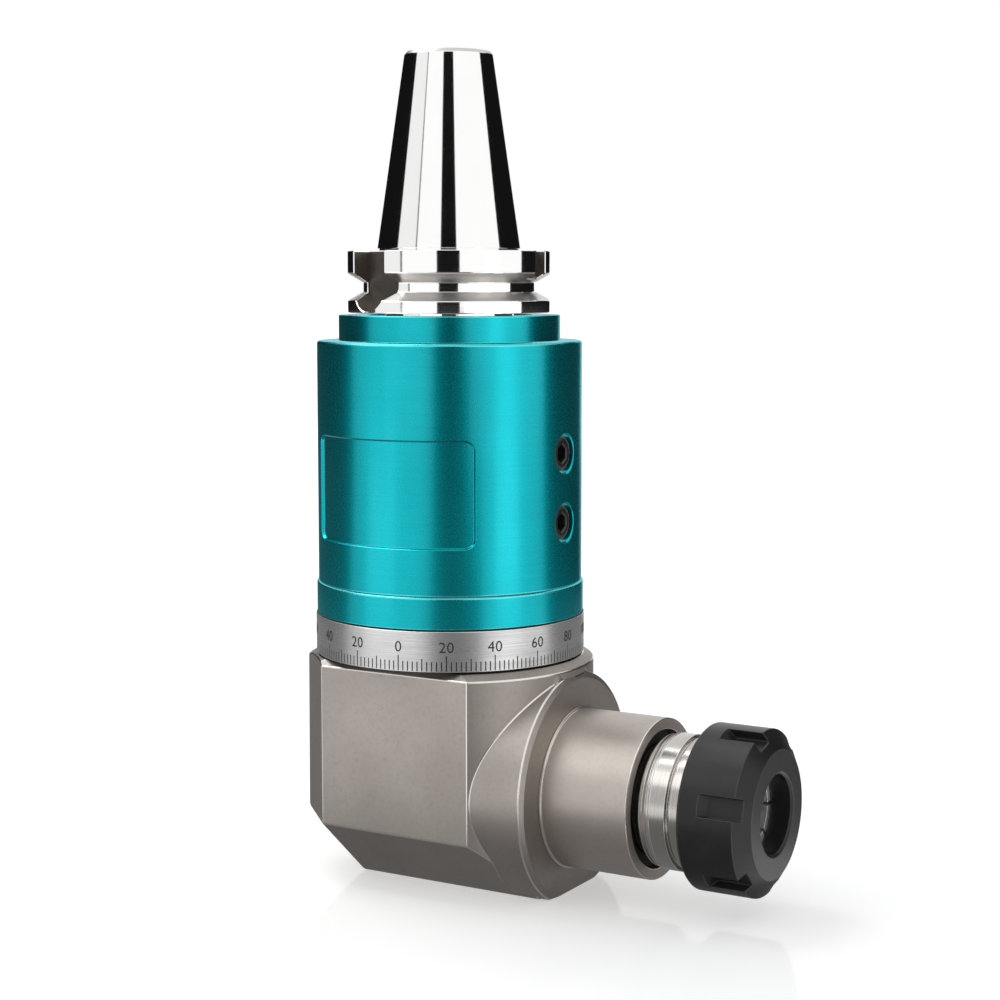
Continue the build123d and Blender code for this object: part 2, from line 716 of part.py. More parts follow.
# Taper shank with its flange, neck and bearing seats
groove_rise = (flange_radius - groove_radius) * tan(radians(groove_half_angle))
groove_height = flange_top - groove_centre
groove_low = groove_height - groove_flat / 2
groove_high = groove_height + groove_flat / 2
taper_start = gauge_height - (gauge_above_flange - taper_relief_height)
taper_start_radius = gauge_radius + (gauge_height - taper_start) * taper_slope
taper_end_radius = gauge_radius - taper_length * taper_slope
with BuildPart() as taper_shank:
    with BuildSketch(Plane.XZ):
        Polygon((0, pinion_hub_top), (input_seat_radius, pinion_hub_top),
                (input_seat_radius, input_pair_top), (neck_radius, input_pair_top),
                (neck_radius, flange_bottom), (flange_radius - flange_edge_chamfer, flange_bottom),
                (flange_radius, flange_bottom + flange_edge_chamfer),
                (flange_radius, groove_low - groove_rise), (groove_radius, groove_low),
                (groove_radius, groove_high), (flange_radius, groove_high + groove_rise),
                (flange_radius, flange_top - flange_edge_chamfer),
                (flange_radius - flange_edge_chamfer, flange_top),
                (taper_relief_radius, flange_top), (taper_relief_radius, taper_start),
                (taper_start_radius, taper_start),
                (taper_end_radius + taper_end_chamfer * taper_slope, shank_top - taper_end_chamfer),
                (taper_end_radius - taper_end_chamfer, shank_top), (0, shank_top), align=None)
        Polygon((0, pinion_hub_top), (stem_radius + seat_gap, pinion_hub_top),
                (stem_radius + seat_gap, stem_top + stem_end_room),
                (draw_screw_radius + draw_screw_room, stem_top + stem_end_room),
                (draw_screw_radius + draw_screw_room, draw_screw_seat), (draw_bore_radius, draw_screw_seat),
                (draw_bore_radius, shank_top - stud_pilot_depth - stud_thread_length),
                (stud_thread_radius, shank_top - stud_pilot_depth - stud_thread_length),
                (stud_thread_radius, shank_top - stud_pilot_depth),
                (stud_pilot_radius, shank_top - stud_pilot_depth),
                (stud_pilot_radius, shank_top - stud_pilot_chamfer),
                (stud_pilot_radius + stud_pilot_chamfer, shank_top), (0, shank_top),
                align=None, mode=Mode.SUBTRACT)
    revolve(axis=Axis.Z)
    slot_radius = drive_slot_width / 2
    slot_centre = flange_bottom + drive_slot_end + slot_radius
    for angle, floor in ((drive_slot_angle, drive_slot_floor), (drive_slot_angle + 180, far_slot_floor)):
        with BuildSketch(radial_plane(angle, floor, slot_centre)):
            Circle(slot_radius)
            Rectangle(drive_slot_width, flange_thickness, align=(Align.CENTER, Align.MIN))
        extrude(amount=flange_radius, mode=Mode.SUBTRACT)
    with BuildSketch(radial_plane(notch_angle, flange_radius - notch_depth, groove_high)):
        Rectangle(notch_width, flange_thickness, align=(Align.CENTER, Align.MIN))
    extrude(amount=2 * notch_depth, mode=Mode.SUBTRACT)
    with BuildSketch(Plane.YZ):
        with Locations((0, pinion_hub_top)):
            Rectangle(key_size, pinion_key_start + pinion_key_length, align=(Align.CENTER, Align.MIN))
    extrude(amount=stem_radius - key_in_shaft + key_size + keyway_clearance, mode=Mode.SUBTRACT)
taper_shank.part.label = "taper_shank"
export_step(taper_shank.part, "parts/taper_shank.step")


# One tooth space of the bevel gears, about the local Z axis with the apex at the origin
outer_distance = gear_module * gear_teeth / 2 * sqrt(2)
inner_distance = outer_distance - gear_face
half_space = gear_module * pi / 4 + gear_thinning
flank = tan(radians(gear_pressure_angle))
tip_height = 2 * gear_addendum
with BuildPart() as tooth_space:
    for share in (cutter_outer_share, cutter_inner_share):
        distance = share * outer_distance
        with BuildSketch(Plane(origin=(distance / sqrt(2), 0, distance / sqrt(2)),
                               x_dir=(0, 1, 0), z_dir=(1, 0, 1))):
            Polygon(*[(share * across, share * along) for across, along in (
                (-(half_space - gear_dedendum * flank), gear_dedendum),
                (half_space - gear_dedendum * flank, gear_dedendum),
                (half_space + tip_height * flank, -tip_height),
                (-(half_space + tip_height * flank), -tip_height))], align=None)
    loft()

# Half section of a gear: radius and distance from the apex
shrink = inner_distance / outer_distance
pitch_circle = gear_module * gear_teeth / 2
tip_step = gear_addendum / sqrt(2)
gear_rim = [
    (gear_toe_face - 2 * gear_addendum, gear_toe_face),
    (shrink * (pitch_circle - tip_step), gear_toe_face),
    (shrink * (pitch_circle + tip_step), shrink * (pitch_circle - tip_step)),
    (pitch_circle + tip_step, pitch_circle - tip_step),
    (pitch_circle - gear_root_rim, pitch_circle + gear_root_rim),
]

# Input bevel gear with the stem that fits the shank
with BuildPart() as bevel_pinion:
    with BuildSketch(Plane.XZ):
        Polygon((0, axis_height + gear_toe_face),
                *[(radius, axis_height + distance) for radius, distance in gear_rim],
                (pinion_hub_radius, axis_height + gear_back), (pinion_hub_radius, pinion_hub_top),
                (stem_radius, pinion_hub_top), (stem_radius, stem_top), (0, stem_top), align=None)
    revolve(axis=Axis.Z)
    with Locations((0, 0, axis_height)):
        with PolarLocations(0, gear_teeth):
            add(tooth_space.part, mode=Mode.SUBTRACT)
    with BuildSketch(Plane.XY.offset(stem_top)):
        Circle(draw_screw_radius)
    extrude(amount=-stem_thread_depth, mode=Mode.SUBTRACT)
    with BuildSketch(Plane.YZ.offset(stem_radius - key_in_shaft)):
        with Locations((0, pinion_hub_top + pinion_key_start)):
            Rectangle(key_size, pinion_key_length, align=(Align.CENTER, Align.MIN))
    extrude(amount=key_size, mode=Mode.SUBTRACT)
bevel_pinion.part.label = "bevel_pinion"
export_step(bevel_pinion.part, "parts/bevel_pinion.step")

# Parallel key between the stem and the shank
with BuildPart() as pinion_key:
    with BuildSketch(Plane.YZ.offset(stem_radius - key_in_shaft)):
        with Locations((0, pinion_hub_top + pinion_key_start)):
            Rectangle(key_size, pinion_key_length, align=(Align.CENTER, Align.MIN))
    extrude(amount=key_size)
pinion_key.part.label = "pinion_key"
export_step(pinion_key.part, "parts/pinion_key.step")

# Long screw that draws the pinion up into the shank
with BuildPart() as draw_screw:
    with BuildSketch(Plane.XY.offset(draw_screw_seat)):
        Circle(draw_screw_head_radius)
    extrude(amount=draw_screw_head_height)
    chamfer(draw_screw.edges().group_by(Axis.Z)[-1], 2 * fine_chamfer)
    with BuildSketch(Plane.XY.offset(draw_screw_seat)):
        Circle(draw_screw_radius - seat_gap)
    extrude(amount=-(draw_screw_seat - stem_top + draw_screw_grip))
    with BuildSketch(Plane.XY.offset(draw_screw_seat + draw_screw_head_height)):
        RegularPolygon(draw_screw_hex / 2, 6, major_radius=False)
    extrude(amount=-draw_screw_hex_depth, mode=Mode.SUBTRACT)
draw_screw.part.label = "draw_screw"
export_step(draw_screw.part, "parts/draw_screw.step")

# Locknut and lock washer under the input bearings
with BuildPart() as input_lock_washer:
    with BuildSketch(Plane.XZ):
        upright_ring(input_seat_radius + seat_gap, input_seat_radius + lock_washer_land,
                     input_washer_bottom, lock_washer_thickness)
    revolve(axis=Axis.Z)
input_lock_washer.part.label = "input_lock_washer"
export_step(input_lock_washer.part, "parts/input_lock_washer.step")

with BuildPart() as input_locknut:
    with BuildSketch(Plane.XY.offset(input_washer_bottom - input_locknut_height)):
        Circle(input_locknut_radius)
        with PolarLocations(input_locknut_radius, 4):
            Rectangle(2 * locknut_slot_depth, locknut_slot_width, mode=Mode.SUBTRACT)
        Circle(input_seat_radius + seat_gap, mode=Mode.SUBTRACT)
    extrude(amount=input_locknut_height)
input_locknut.part.label = "input_locknut"
export_step(input_locknut.part, "parts/input_locknut.step")

# Output spindle with the collet cone in its nose
cone_slope = tan(radians(collet_cone_angle))
front_slope = tan(radians(90 - collet_front_angle))
collet_land = collet_face - (collet_head_radius - collet_front_radius) * front_slope
collet_cone_start = collet_land - collet_groove_width
collet_rear = collet_face - collet_length
cavity_rear = collet_rear - collet_rear_room
cavity_mouth_radius = collet_head_radius - (collet_cone_start - spindle_face) * cone_slope + collet_gap
cavity_rear_radius = collet_head_radius - (collet_cone_start - cavity_rear) * cone_slope + collet_gap
with BuildPart() as output_spindle:
    with BuildSketch(Plane.XZ):
        nose_outline([
            (-spindle_tail_end, 0), (-spindle_tail_end, tail_seat_radius),
            (-tail_bearing_front, tail_seat_radius), (-tail_bearing_front, spindle_waist_radius),
            (gear_seat_start, spindle_waist_radius), (gear_seat_start, gear_seat_radius),
            (gear_hub_end, gear_seat_radius), (gear_hub_end, nose_seat_radius),
            (nose_pair_front, nose_seat_radius), (nose_pair_front, spindle_shoulder_radius),
            (spindle_shoulder_end, spindle_shoulder_radius),
            (spindle_shoulder_end, spindle_throat_radius), (spindle_throat_end, spindle_throat_radius),
            (spindle_throat_end, nose_ring_lip_radius),
            (nose_ring_start, nose_land_radius), (nose_ring_start, nose_land_radius - nose_line_depth),
            (nose_ring_start + nose_line_width, nose_land_radius - nose_line_depth),
            (nose_ring_start + nose_line_width, nose_land_radius), (nose_land_end, nose_land_radius),
            (nose_land_end, nose_groove_radius), (nose_groove_end, nose_groove_radius),
            (nose_groove_end, nose_rear_ring_radius), (nose_thread_start, nose_rear_ring_radius),
            (nose_thread_start, nose_thread_radius),
            (spindle_face - sleeve_chamfer, nose_thread_radius),
            (spindle_face, nose_thread_radius - sleeve_chamfer), (spindle_face, cavity_mouth_radius),
            (cavity_rear, cavity_rear_radius), (cavity_rear, spindle_bore_radius),
            (spindle_bore_start, spindle_bore_radius), (spindle_bore_start, 0),
        ])
    revolve(axis=output_axis)
    with BuildSketch(Plane.XY.offset(axis_height + gear_seat_radius - key_in_shaft)):
        with Locations((gear_hub_end - gear_key_setback, 0)):
            Rectangle(gear_key_length, key_size, align=(Align.MAX, Align.CENTER))
    extrude(amount=key_size, mode=Mode.SUBTRACT)
output_spindle.part.label = "output_spindle"
export_step(output_spindle.part, "parts/output_spindle.step")

# Output bevel gear
with BuildPart() as output_gear:
    with BuildSketch(Plane.XZ):
        nose_outline([(gear_toe_face, gear_seat_radius + seat_gap),
                      *[(distance, radius) for radius, distance in gear_rim[1:]],
                      (gear_back, output_hub_radius), (gear_hub_end, output_hub_radius),
                      (gear_hub_end, gear_seat_radius + seat_gap)])
    revolve(axis=output_axis)
    with Locations(nose_plane(0)):
        with PolarLocations(0, gear_teeth, start_angle=90 + 180 / gear_teeth):
            add(tooth_space.part, mode=Mode.SUBTRACT)
    with BuildSketch(Plane.XY.offset(axis_height)):
        with Locations((gear_toe_face, 0)):
            Rectangle(gear_hub_end - gear_toe_face, key_size, align=(Align.MIN, Align.CENTER))
    extrude(amount=gear_seat_radius - key_in_shaft + key_size + keyway_clearance, mode=Mode.SUBTRACT)
output_gear.part.label = "output_gear"
export_step(output_gear.part, "parts/output_gear.step")

# Parallel key under the output gear
with BuildPart() as gear_key:
    with BuildSketch(Plane.XY.offset(axis_height + gear_seat_radius - key_in_shaft)):
        with Locations((gear_hub_end - gear_key_setback, 0)):
            Rectangle(gear_key_length, key_size, align=(Align.MAX, Align.CENTER))
    extrude(amount=key_size)
gear_key.part.label = "gear_key"
export_step(gear_key.part, "parts/gear_key.step")

# Locknut in front of the output gear
with BuildPart() as gear_locknut:
    with BuildSketch(nose_plane(gear_toe_face - gear_locknut_height)):
        Circle(gear_locknut_radius)
        with PolarLocations(gear_locknut_radius, 4):
            Rectangle(2 * locknut_slot_depth, locknut_slot_width, mode=Mode.SUBTRACT)
        Circle(gear_seat_radius + seat_gap, mode=Mode.SUBTRACT)
    extrude(amount=gear_locknut_height)
gear_locknut.part.label = "gear_locknut"
export_step(gear_locknut.part, "parts/gear_locknut.step")

# Lock washer and locknut behind the nose bearings
with BuildPart() as spindle_lock_washer:
    with BuildSketch(Plane.XZ):
        nose_ring(nose_seat_radius + seat_gap, nose_seat_radius + lock_washer_land,
                  nose_pair_rear - lock_washer_thickness, lock_washer_thickness)
    revolve(axis=output_axis)
spindle_lock_washer.part.label = "spindle_lock_washer"
export_step(spindle_lock_washer.part, "parts/spindle_lock_washer.step")

with BuildPart() as spindle_locknut:
    with BuildSketch(nose_plane(nose_pair_rear - lock_washer_thickness - spindle_locknut_height)):
        Circle(spindle_locknut_radius)
        with PolarLocations(spindle_locknut_radius, 4):
            Rectangle(2 * locknut_slot_depth, locknut_slot_width, mode=Mode.SUBTRACT)
        Circle(nose_seat_radius + seat_gap, mode=Mode.SUBTRACT)
    extrude(amount=spindle_locknut_height)
spindle_locknut.part.label = "spindle_locknut"
export_step(spindle_locknut.part, "parts/spindle_locknut.step")

# Outer rings of the nose bearings
nose_pitch = pitch_radius(nose_seat_radius, nose_ring_radius)
nose_step = race_step(nose_ball_radius)
with BuildPart() as nose_bearing_outer_rings:
    with BuildSketch(Plane.XZ):
        for rear in (nose_pair_rear, nose_pair_rear + nose_bearing_width):
            nose_ring(nose_pitch + nose_step, nose_ring_radius - seat_gap,
                      rear + seat_gap, nose_bearing_width - 2 * seat_gap)
    revolve(axis=output_axis)
    for centre in nose_bearing_centres:
        with Locations(nose_plane(centre)):
            Torus(nose_pitch, nose_ball_radius + ball_gap, mode=Mode.SUBTRACT)
nose_bearing_outer_rings.part.label = "nose_bearing_outer_rings"
export_step(nose_bearing_outer_rings.part, "parts/nose_bearing_outer_rings.step")

# Inner rings of the nose bearings
with BuildPart() as nose_bearing_inner_rings:
    with BuildSketch(Plane.XZ):
        for rear in (nose_pair_rear, nose_pair_rear + nose_bearing_width):
            nose_ring(nose_seat_radius + seat_gap, nose_pitch - nose_step,
                      rear + seat_gap, nose_bearing_width - 2 * seat_gap)
    revolve(axis=output_axis)
    for centre in nose_bearing_centres:
        with Locations(nose_plane(centre)):
            Torus(nose_pitch, nose_ball_radius + ball_gap, mode=Mode.SUBTRACT)
nose_bearing_inner_rings.part.label = "nose_bearing_inner_rings"
export_step(nose_bearing_inner_rings.part, "parts/nose_bearing_inner_rings.step")

# Balls of the nose bearings
with BuildPart() as nose_bearing_balls:
    for centre in nose_bearing_centres:
        with Locations(nose_plane(centre)):
            with PolarLocations(nose_pitch, nose_ball_count):
                Sphere(nose_ball_radius)
nose_bearing_balls.part.label = "nose_bearing_balls"
export_step(nose_bearing_balls.part, "parts/nose_bearing_balls.step")

# Cages of the nose bearings
nose_pocket = nose_ball_radius + cage_pocket_gap
with BuildPart() as nose_bearing_cages:
    with BuildSketch(Plane.XZ):
        for centre in nose_bearing_centres:
            nose_ring(nose_pitch - nose_step / 2, nose_pitch + nose_step / 2,
                      centre - nose_pocket - cage_wall, 2 * (nose_pocket + cage_wall))
    revolve(axis=output_axis)
    for centre in nose_bearing_centres:
        with Locations(nose_plane(centre)):
            with PolarLocations(nose_pitch, nose_ball_count):
                Cylinder(nose_pocket, 2 * nose_step, rotation=(0, 90, 0), mode=Mode.SUBTRACT)
nose_bearing_cages.part.label = "nose_bearing_cages"
export_step(nose_bearing_cages.part, "parts/nose_bearing_cages.step")

# Tail bearing
tail_pitch = pitch_radius(tail_seat_radius, tail_ring_radius)
tail_step = race_step(tail_ball_radius)
with BuildPart() as tail_bearing_outer_ring:
    with BuildSketch(Plane.XZ):
        nose_ring(tail_pitch + tail_step, tail_ring_radius - seat_gap,
                  -tail_bearing_rear + seat_gap, tail_bearing_width - 2 * seat_gap)
    revolve(axis=output_axis)
    with Locations(nose_plane(tail_bearing_centre)):
        Torus(tail_pitch, tail_ball_radius + ball_gap, mode=Mode.SUBTRACT)
tail_bearing_outer_ring.part.label = "tail_bearing_outer_ring"
export_step(tail_bearing_outer_ring.part, "parts/tail_bearing_outer_ring.step")

with BuildPart() as tail_bearing_inner_ring:
    with BuildSketch(Plane.XZ):
        nose_ring(tail_seat_radius + seat_gap, tail_pitch - tail_step,
                  -tail_bearing_rear + seat_gap, tail_bearing_width - 2 * seat_gap)
    revolve(axis=output_axis)
    with Locations(nose_plane(tail_bearing_centre)):
        Torus(tail_pitch, tail_ball_radius + ball_gap, mode=Mode.SUBTRACT)
tail_bearing_inner_ring.part.label = "tail_bearing_inner_ring"
export_step(tail_bearing_inner_ring.part, "parts/tail_bearing_inner_ring.step")

with BuildPart() as tail_bearing_balls:
    with Locations(nose_plane(tail_bearing_centre)):
        with PolarLocations(tail_pitch, tail_ball_count):
            Sphere(tail_ball_radius)
tail_bearing_balls.part.label = "tail_bearing_balls"
export_step(tail_bearing_balls.part, "parts/tail_bearing_balls.step")

tail_pocket = tail_ball_radius + cage_pocket_gap
with BuildPart() as tail_bearing_cage:
    with BuildSketch(Plane.XZ):
        nose_ring(tail_pitch - tail_step / 2, tail_pitch + tail_step / 2,
                  tail_bearing_centre - tail_pocket - cage_wall / 2, 2 * tail_pocket + cage_wall)
    revolve(axis=output_axis)
    with Locations(nose_plane(tail_bearing_centre)):
        with PolarLocations(tail_pitch, tail_ball_count):
            Cylinder(tail_pocket, 2 * tail_step, rotation=(0, 90, 0), mode=Mode.SUBTRACT)
tail_bearing_cage.part.label = "tail_bearing_cage"
export_step(tail_bearing_cage.part, "parts/tail_bearing_cage.step")

# Preload washer behind the tail bearing's outer ring
with BuildPart() as preload_washer:
    with BuildSketch(Plane.XZ):
        nose_ring(tail_pitch + tail_step, tail_ring_radius - seat_gap,
                  -tail_bearing_rear - preload_washer_thickness, preload_washer_thickness)
    revolve(axis=output_axis)
preload_washer.part.label = "preload_washer"
export_step(preload_washer.part, "parts/preload_washer.step")

# Snap ring that holds the nose bearings in the sleeve
with BuildPart() as nose_snap_ring:
    with BuildSketch(nose_plane(nose_pair_front)):
        Circle(nose_ring_radius + snap_groove_depth - running_gap)
        Circle(snap_ring_inner_radius, mode=Mode.SUBTRACT)
        with Locations((0, -nose_ring_radius)):
            Rectangle(nose_ball_radius * 2, nose_ring_radius, mode=Mode.SUBTRACT)
    extrude(amount=snap_ring_width)
nose_snap_ring.part.label = "nose_snap_ring"
export_step(nose_snap_ring.part, "parts/nose_snap_ring.step")

# Lip seal in the mouth of the sleeve
with BuildPart() as nose_seal:
    seal_front = sleeve_face - nose_seal_front
    with BuildSketch(Plane.XZ):
        nose_outline([
            (seal_front - nose_seal_width, nose_ring_radius - seat_gap),
            (seal_front, nose_ring_radius - seat_gap),
            (seal_front, spindle_shoulder_radius + 2 * seal_shell),
            (seal_front - seal_shell, spindle_shoulder_radius + seal_lip_gap),
            (seal_front - 2 * seal_shell, spindle_shoulder_radius + 2 * seal_shell),
            (seal_front - 2 * seal_shell, nose_ring_radius - 2 * seal_shell),
            (seal_front - nose_seal_width, nose_ring_radius - 2 * seal_shell),
        ])
    revolve(axis=output_axis)
nose_seal.part.label = "nose_seal"
export_step(nose_seal.part, "parts/nose_seal.step")

# Slotted collet
collet_rear_radius = collet_head_radius - (collet_cone_start - collet_rear) * cone_slope
with BuildPart() as collet:
    with BuildSketch(Plane.XZ):
        nose_outline([
            (collet_rear, collet_bore_radius), (collet_rear, collet_rear_radius),
            (collet_cone_start, collet_head_radius), (collet_cone_start, collet_groove_radius),
            (collet_land, collet_groove_radius), (collet_land, collet_head_radius),
            (collet_face, collet_front_radius), (collet_face, collet_bore_radius),
        ])
    revolve(axis=output_axis)
    for index in range(collet_slit_pairs):
        turn = 180 / collet_slit_pairs * index
        with BuildSketch(nose_plane(collet_face)):
            Rectangle(collet_slit, 2 * collet_head_radius, rotation=turn)
        extrude(amount=-(collet_length - collet_rear_bridge), mode=Mode.SUBTRACT)
        with BuildSketch(nose_plane(collet_rear)):
            Rectangle(collet_slit, 2 * collet_head_radius, rotation=turn + 90 / collet_slit_pairs)
        extrude(amount=collet_length - collet_front_bridge, mode=Mode.SUBTRACT)
collet.part.label = "collet"
export_step(collet.part, "parts/collet.step")

# Slotted clamping nut
nut_cone_face = collet_face + nut_cone_gap
nut_cone_inner = collet_front_radius + nut_cone_gap
nut_cone_outer = collet_head_radius + nut_cone_gap
with BuildPart() as clamping_nut:
    with BuildSketch(Plane.XZ):
        nose_outline([
            (nut_rear, nut_thread_radius), (nut_rear, nut_radius - nut_rear_chamfer),
            (nut_rear + nut_rear_chamfer, nut_radius), (nut_chamfer_start, nut_radius),
            (nut_face, nut_face_radius), (nut_face, nut_bore_radius + nut_bore_chamfer),
            (nut_face - nut_bore_chamfer, nut_bore_radius), (nut_cone_face + nut_cone_gap, nut_bore_radius),
            (nut_cone_face + nut_cone_gap, nut_cone_inner), (collet_land + nut_cone_gap, nut_cone_outer),
            (collet_land - nut_cone_gap, nut_cone_outer), (collet_land - nut_cone_gap, nut_lip_radius),
            (nut_thread_end, nut_lip_radius), (nut_thread_end, nut_thread_radius),
        ])
    revolve(axis=output_axis)
    for index in range(nut_slot_count):
        turn = nut_slot_angle + 360 / nut_slot_count * index
        slot_side = Plane(origin=(0, 0, axis_height), x_dir=(1, 0, 0),
                          z_dir=(0, -sin(radians(turn)), cos(radians(turn))))
        with BuildSketch(slot_side):
            Polygon((nut_slot_start, -nut_radius), (nut_slot_start + nut_slot_runout, -nut_slot_floor),
                    (nut_face, -nut_slot_floor), (nut_face, -nut_radius - nut_slot_overcut),
                    (nut_slot_start, -nut_radius - nut_slot_overcut), align=None)
        extrude(amount=nut_slot_width / 2, both=True, mode=Mode.SUBTRACT)
clamping_nut.part.label = "clamping_nut"
export_step(clamping_nut.part, "parts/clamping_nut.step")
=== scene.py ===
# %% [markdown]
# # An angle head, dressed for its portrait
# An angle head turns the spindle of a milling machine round a right angle. A steep taper goes into the
# machine, a teal body carries the bearings, a graduated ring reads the swivel, and a steel case holds the
# bevel gears. The CAD model already has every piece in its true place. This lesson gives the pieces that
# show their rounded edges, their scale and their finishes.

# %% Load the CAD model
import json
from math import radians
import bmesh
import bpy
import numpy as np
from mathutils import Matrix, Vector


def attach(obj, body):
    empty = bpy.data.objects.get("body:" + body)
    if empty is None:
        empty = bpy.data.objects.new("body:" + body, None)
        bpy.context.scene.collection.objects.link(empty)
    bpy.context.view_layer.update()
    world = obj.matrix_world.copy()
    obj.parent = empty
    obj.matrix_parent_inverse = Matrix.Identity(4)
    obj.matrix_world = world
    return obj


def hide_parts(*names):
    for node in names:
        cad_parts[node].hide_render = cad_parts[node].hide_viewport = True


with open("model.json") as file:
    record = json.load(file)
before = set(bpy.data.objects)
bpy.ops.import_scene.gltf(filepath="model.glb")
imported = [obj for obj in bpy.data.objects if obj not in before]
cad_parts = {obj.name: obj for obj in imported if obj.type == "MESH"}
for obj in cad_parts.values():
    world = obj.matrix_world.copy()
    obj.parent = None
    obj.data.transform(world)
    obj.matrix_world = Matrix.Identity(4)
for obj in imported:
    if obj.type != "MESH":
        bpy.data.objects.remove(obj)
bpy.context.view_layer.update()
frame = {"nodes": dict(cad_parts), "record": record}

nodes = frame["nodes"]
slot_of = {row["node"]: row["material_slot"] for row in frame["record"]["subparts"]}
MM = 0.001  # shapes are written in millimetres, and Blender counts in metres
AXIS = 32.0  # height of the output axis over the table, in mm

# %% [markdown]
# ## From a grid of points to a mesh
# Most pieces of this head come off a lathe, and a turned surface is a function of two numbers: how far
# along the profile, and how far round the axis. A Screw modifier could sweep a profile too. Here numpy
# works out the whole grid of points at once, and foreach_set hands it to Blender. That is fast, and every
# edge is where the drawing says.

# %% Mesh from a closed grid
def shell_from_grid(name, points, worn=None):
    """Mesh of a grid that closes on itself both ways: row i and column j share a quad with their next ones.

    worn is 1 for each row of quads that is a broken edge, and 0 for a plain row.
    """
    rows, columns = points.shape[:2]
    i, j = np.meshgrid(np.arange(rows), np.arange(columns), indexing="ij")
    down, right = (i + 1) % rows, (j + 1) % columns
    quads = np.stack([i * columns + j, i * columns + right, down * columns + right, down * columns + j], -1)
    quads = quads.reshape(-1, 4)
    flat = points.reshape(-1, 3)
    a, b, c, d = (flat[quads[:, k]] for k in range(4))
    volume = np.einsum("ij,ij->i", a, np.cross(b, c)).sum() + np.einsum("ij,ij->i", a, np.cross(c, d)).sum()
    if volume < 0:
        quads = quads[:, ::-1]
    mesh = bpy.data.meshes.new(name)
    mesh.vertices.add(len(flat))
    mesh.vertices.foreach_set("co", (flat * MM).ravel())
    mesh.loops.add(quads.size)
    mesh.loops.foreach_set("vertex_index", np.ascontiguousarray(quads).ravel())
    mesh.polygons.add(len(quads))
    mesh.polygons.foreach_set("loop_start", np.arange(0, quads.size, 4))
    mesh.attributes.new("edge", "FLOAT", "FACE")
    if worn is not None:
        mesh.attributes["edge"].data.foreach_set("value", np.repeat(worn, columns).astype(np.float32))
    mesh.update(calc_edges=True)
    mesh.validate()
    return mesh


def points_of(mesh):
    """Places of all vertices, in metres, one row each."""
    place = np.empty(len(mesh.vertices) * 3)
    mesh.vertices.foreach_get("co", place)
    return place.reshape(-1, 3)


def piece(name, mesh):
    """New object of that mesh, at the origin, linked to the scene."""
    made = bpy.data.objects.new(name, mesh)
    bpy.context.scene.collection.objects.link(made)
    return made


# %% [markdown]
# ## Corners that catch the light
# No machined edge is perfectly sharp: the maker breaks each corner with a file or a small radius, and that
# tiny round is what flashes in a photograph. Instead of a bevel on the finished mesh, the round goes into
# the profile, because there its size is exact at every corner. Each point also says whether the face that
# starts at it belongs to a round, so a finish can rub just those faces bright.

# %% Profile with eased corners
def eased(corners, ease, steps=5):
    """Closed profile. Near a corner C it follows (1-s)^2 A + 2s(1-s) C + s^2 B, with A and B at its sides.

    The third number of a point is 1 where the next stretch is part of a round.
    """
    c = np.array(corners, float)
    back, ahead = np.roll(c, 1, 0) - c, np.roll(c, -1, 0) - c
    back_length, ahead_length = np.linalg.norm(back, axis=1), np.linalg.norm(ahead, axis=1)
    reach = np.minimum(np.broadcast_to(ease, len(c)), 0.45 * np.minimum(back_length, ahead_length))
    a = c + back * (reach / back_length)[:, None]
    b = c + ahead * (reach / ahead_length)[:, None]
    s = np.linspace(0, 1, steps)[None, :, None]
    p = (1 - s) ** 2 * a[:, None] + 2 * s * (1 - s) * c[:, None] + s ** 2 * b[:, None]
    rounded = (reach[:, None] > 0.05) & (np.arange(steps)[None] < steps - 1)
    p = np.concatenate([p.reshape(-1, 2), rounded.reshape(-1, 1)], 1)
    return p[np.linalg.norm((p - np.roll(p, 1, 0))[:, :2], axis=1) > 1e-5]


def turned(name, profile, columns=256, about="z", cut=None, angles=None):
    """Surface of revolution: at angle t, (radius, height) goes to (radius cos t, radius sin t, height).

    About "x" the height runs along the output axis. cut gives a new radius from radius, height and angle.
    """
    t = np.linspace(0, 2 * np.pi, columns, endpoint=False) if angles is None else angles
    r, h = np.broadcast_arrays(profile[:, 0, None], t)[0].copy(), profile[:, 1, None] + 0 * t
    if cut is not None:
        r = cut(r, h, t[None, :] + 0 * h)
    across, up = r * np.cos(t), r * np.sin(t)
    points = np.stack([across, up, h], -1) if about == "z" else np.stack([h, across, AXIS + up], -1)
    return shell_from_grid(name, points, profile[:, 2])


# %% [markdown]
# ## Exact shading
# A cylinder made of flat strips only looks round when its normals are those of the true cylinder. Smooth
# shading averages neighbours, and bends the light at every edge. A turned face needs no averages: the face
# says how steep it is, and each corner says in which direction it lies from the axis. Flat walls, such as
# those of a slot, keep their own normal.

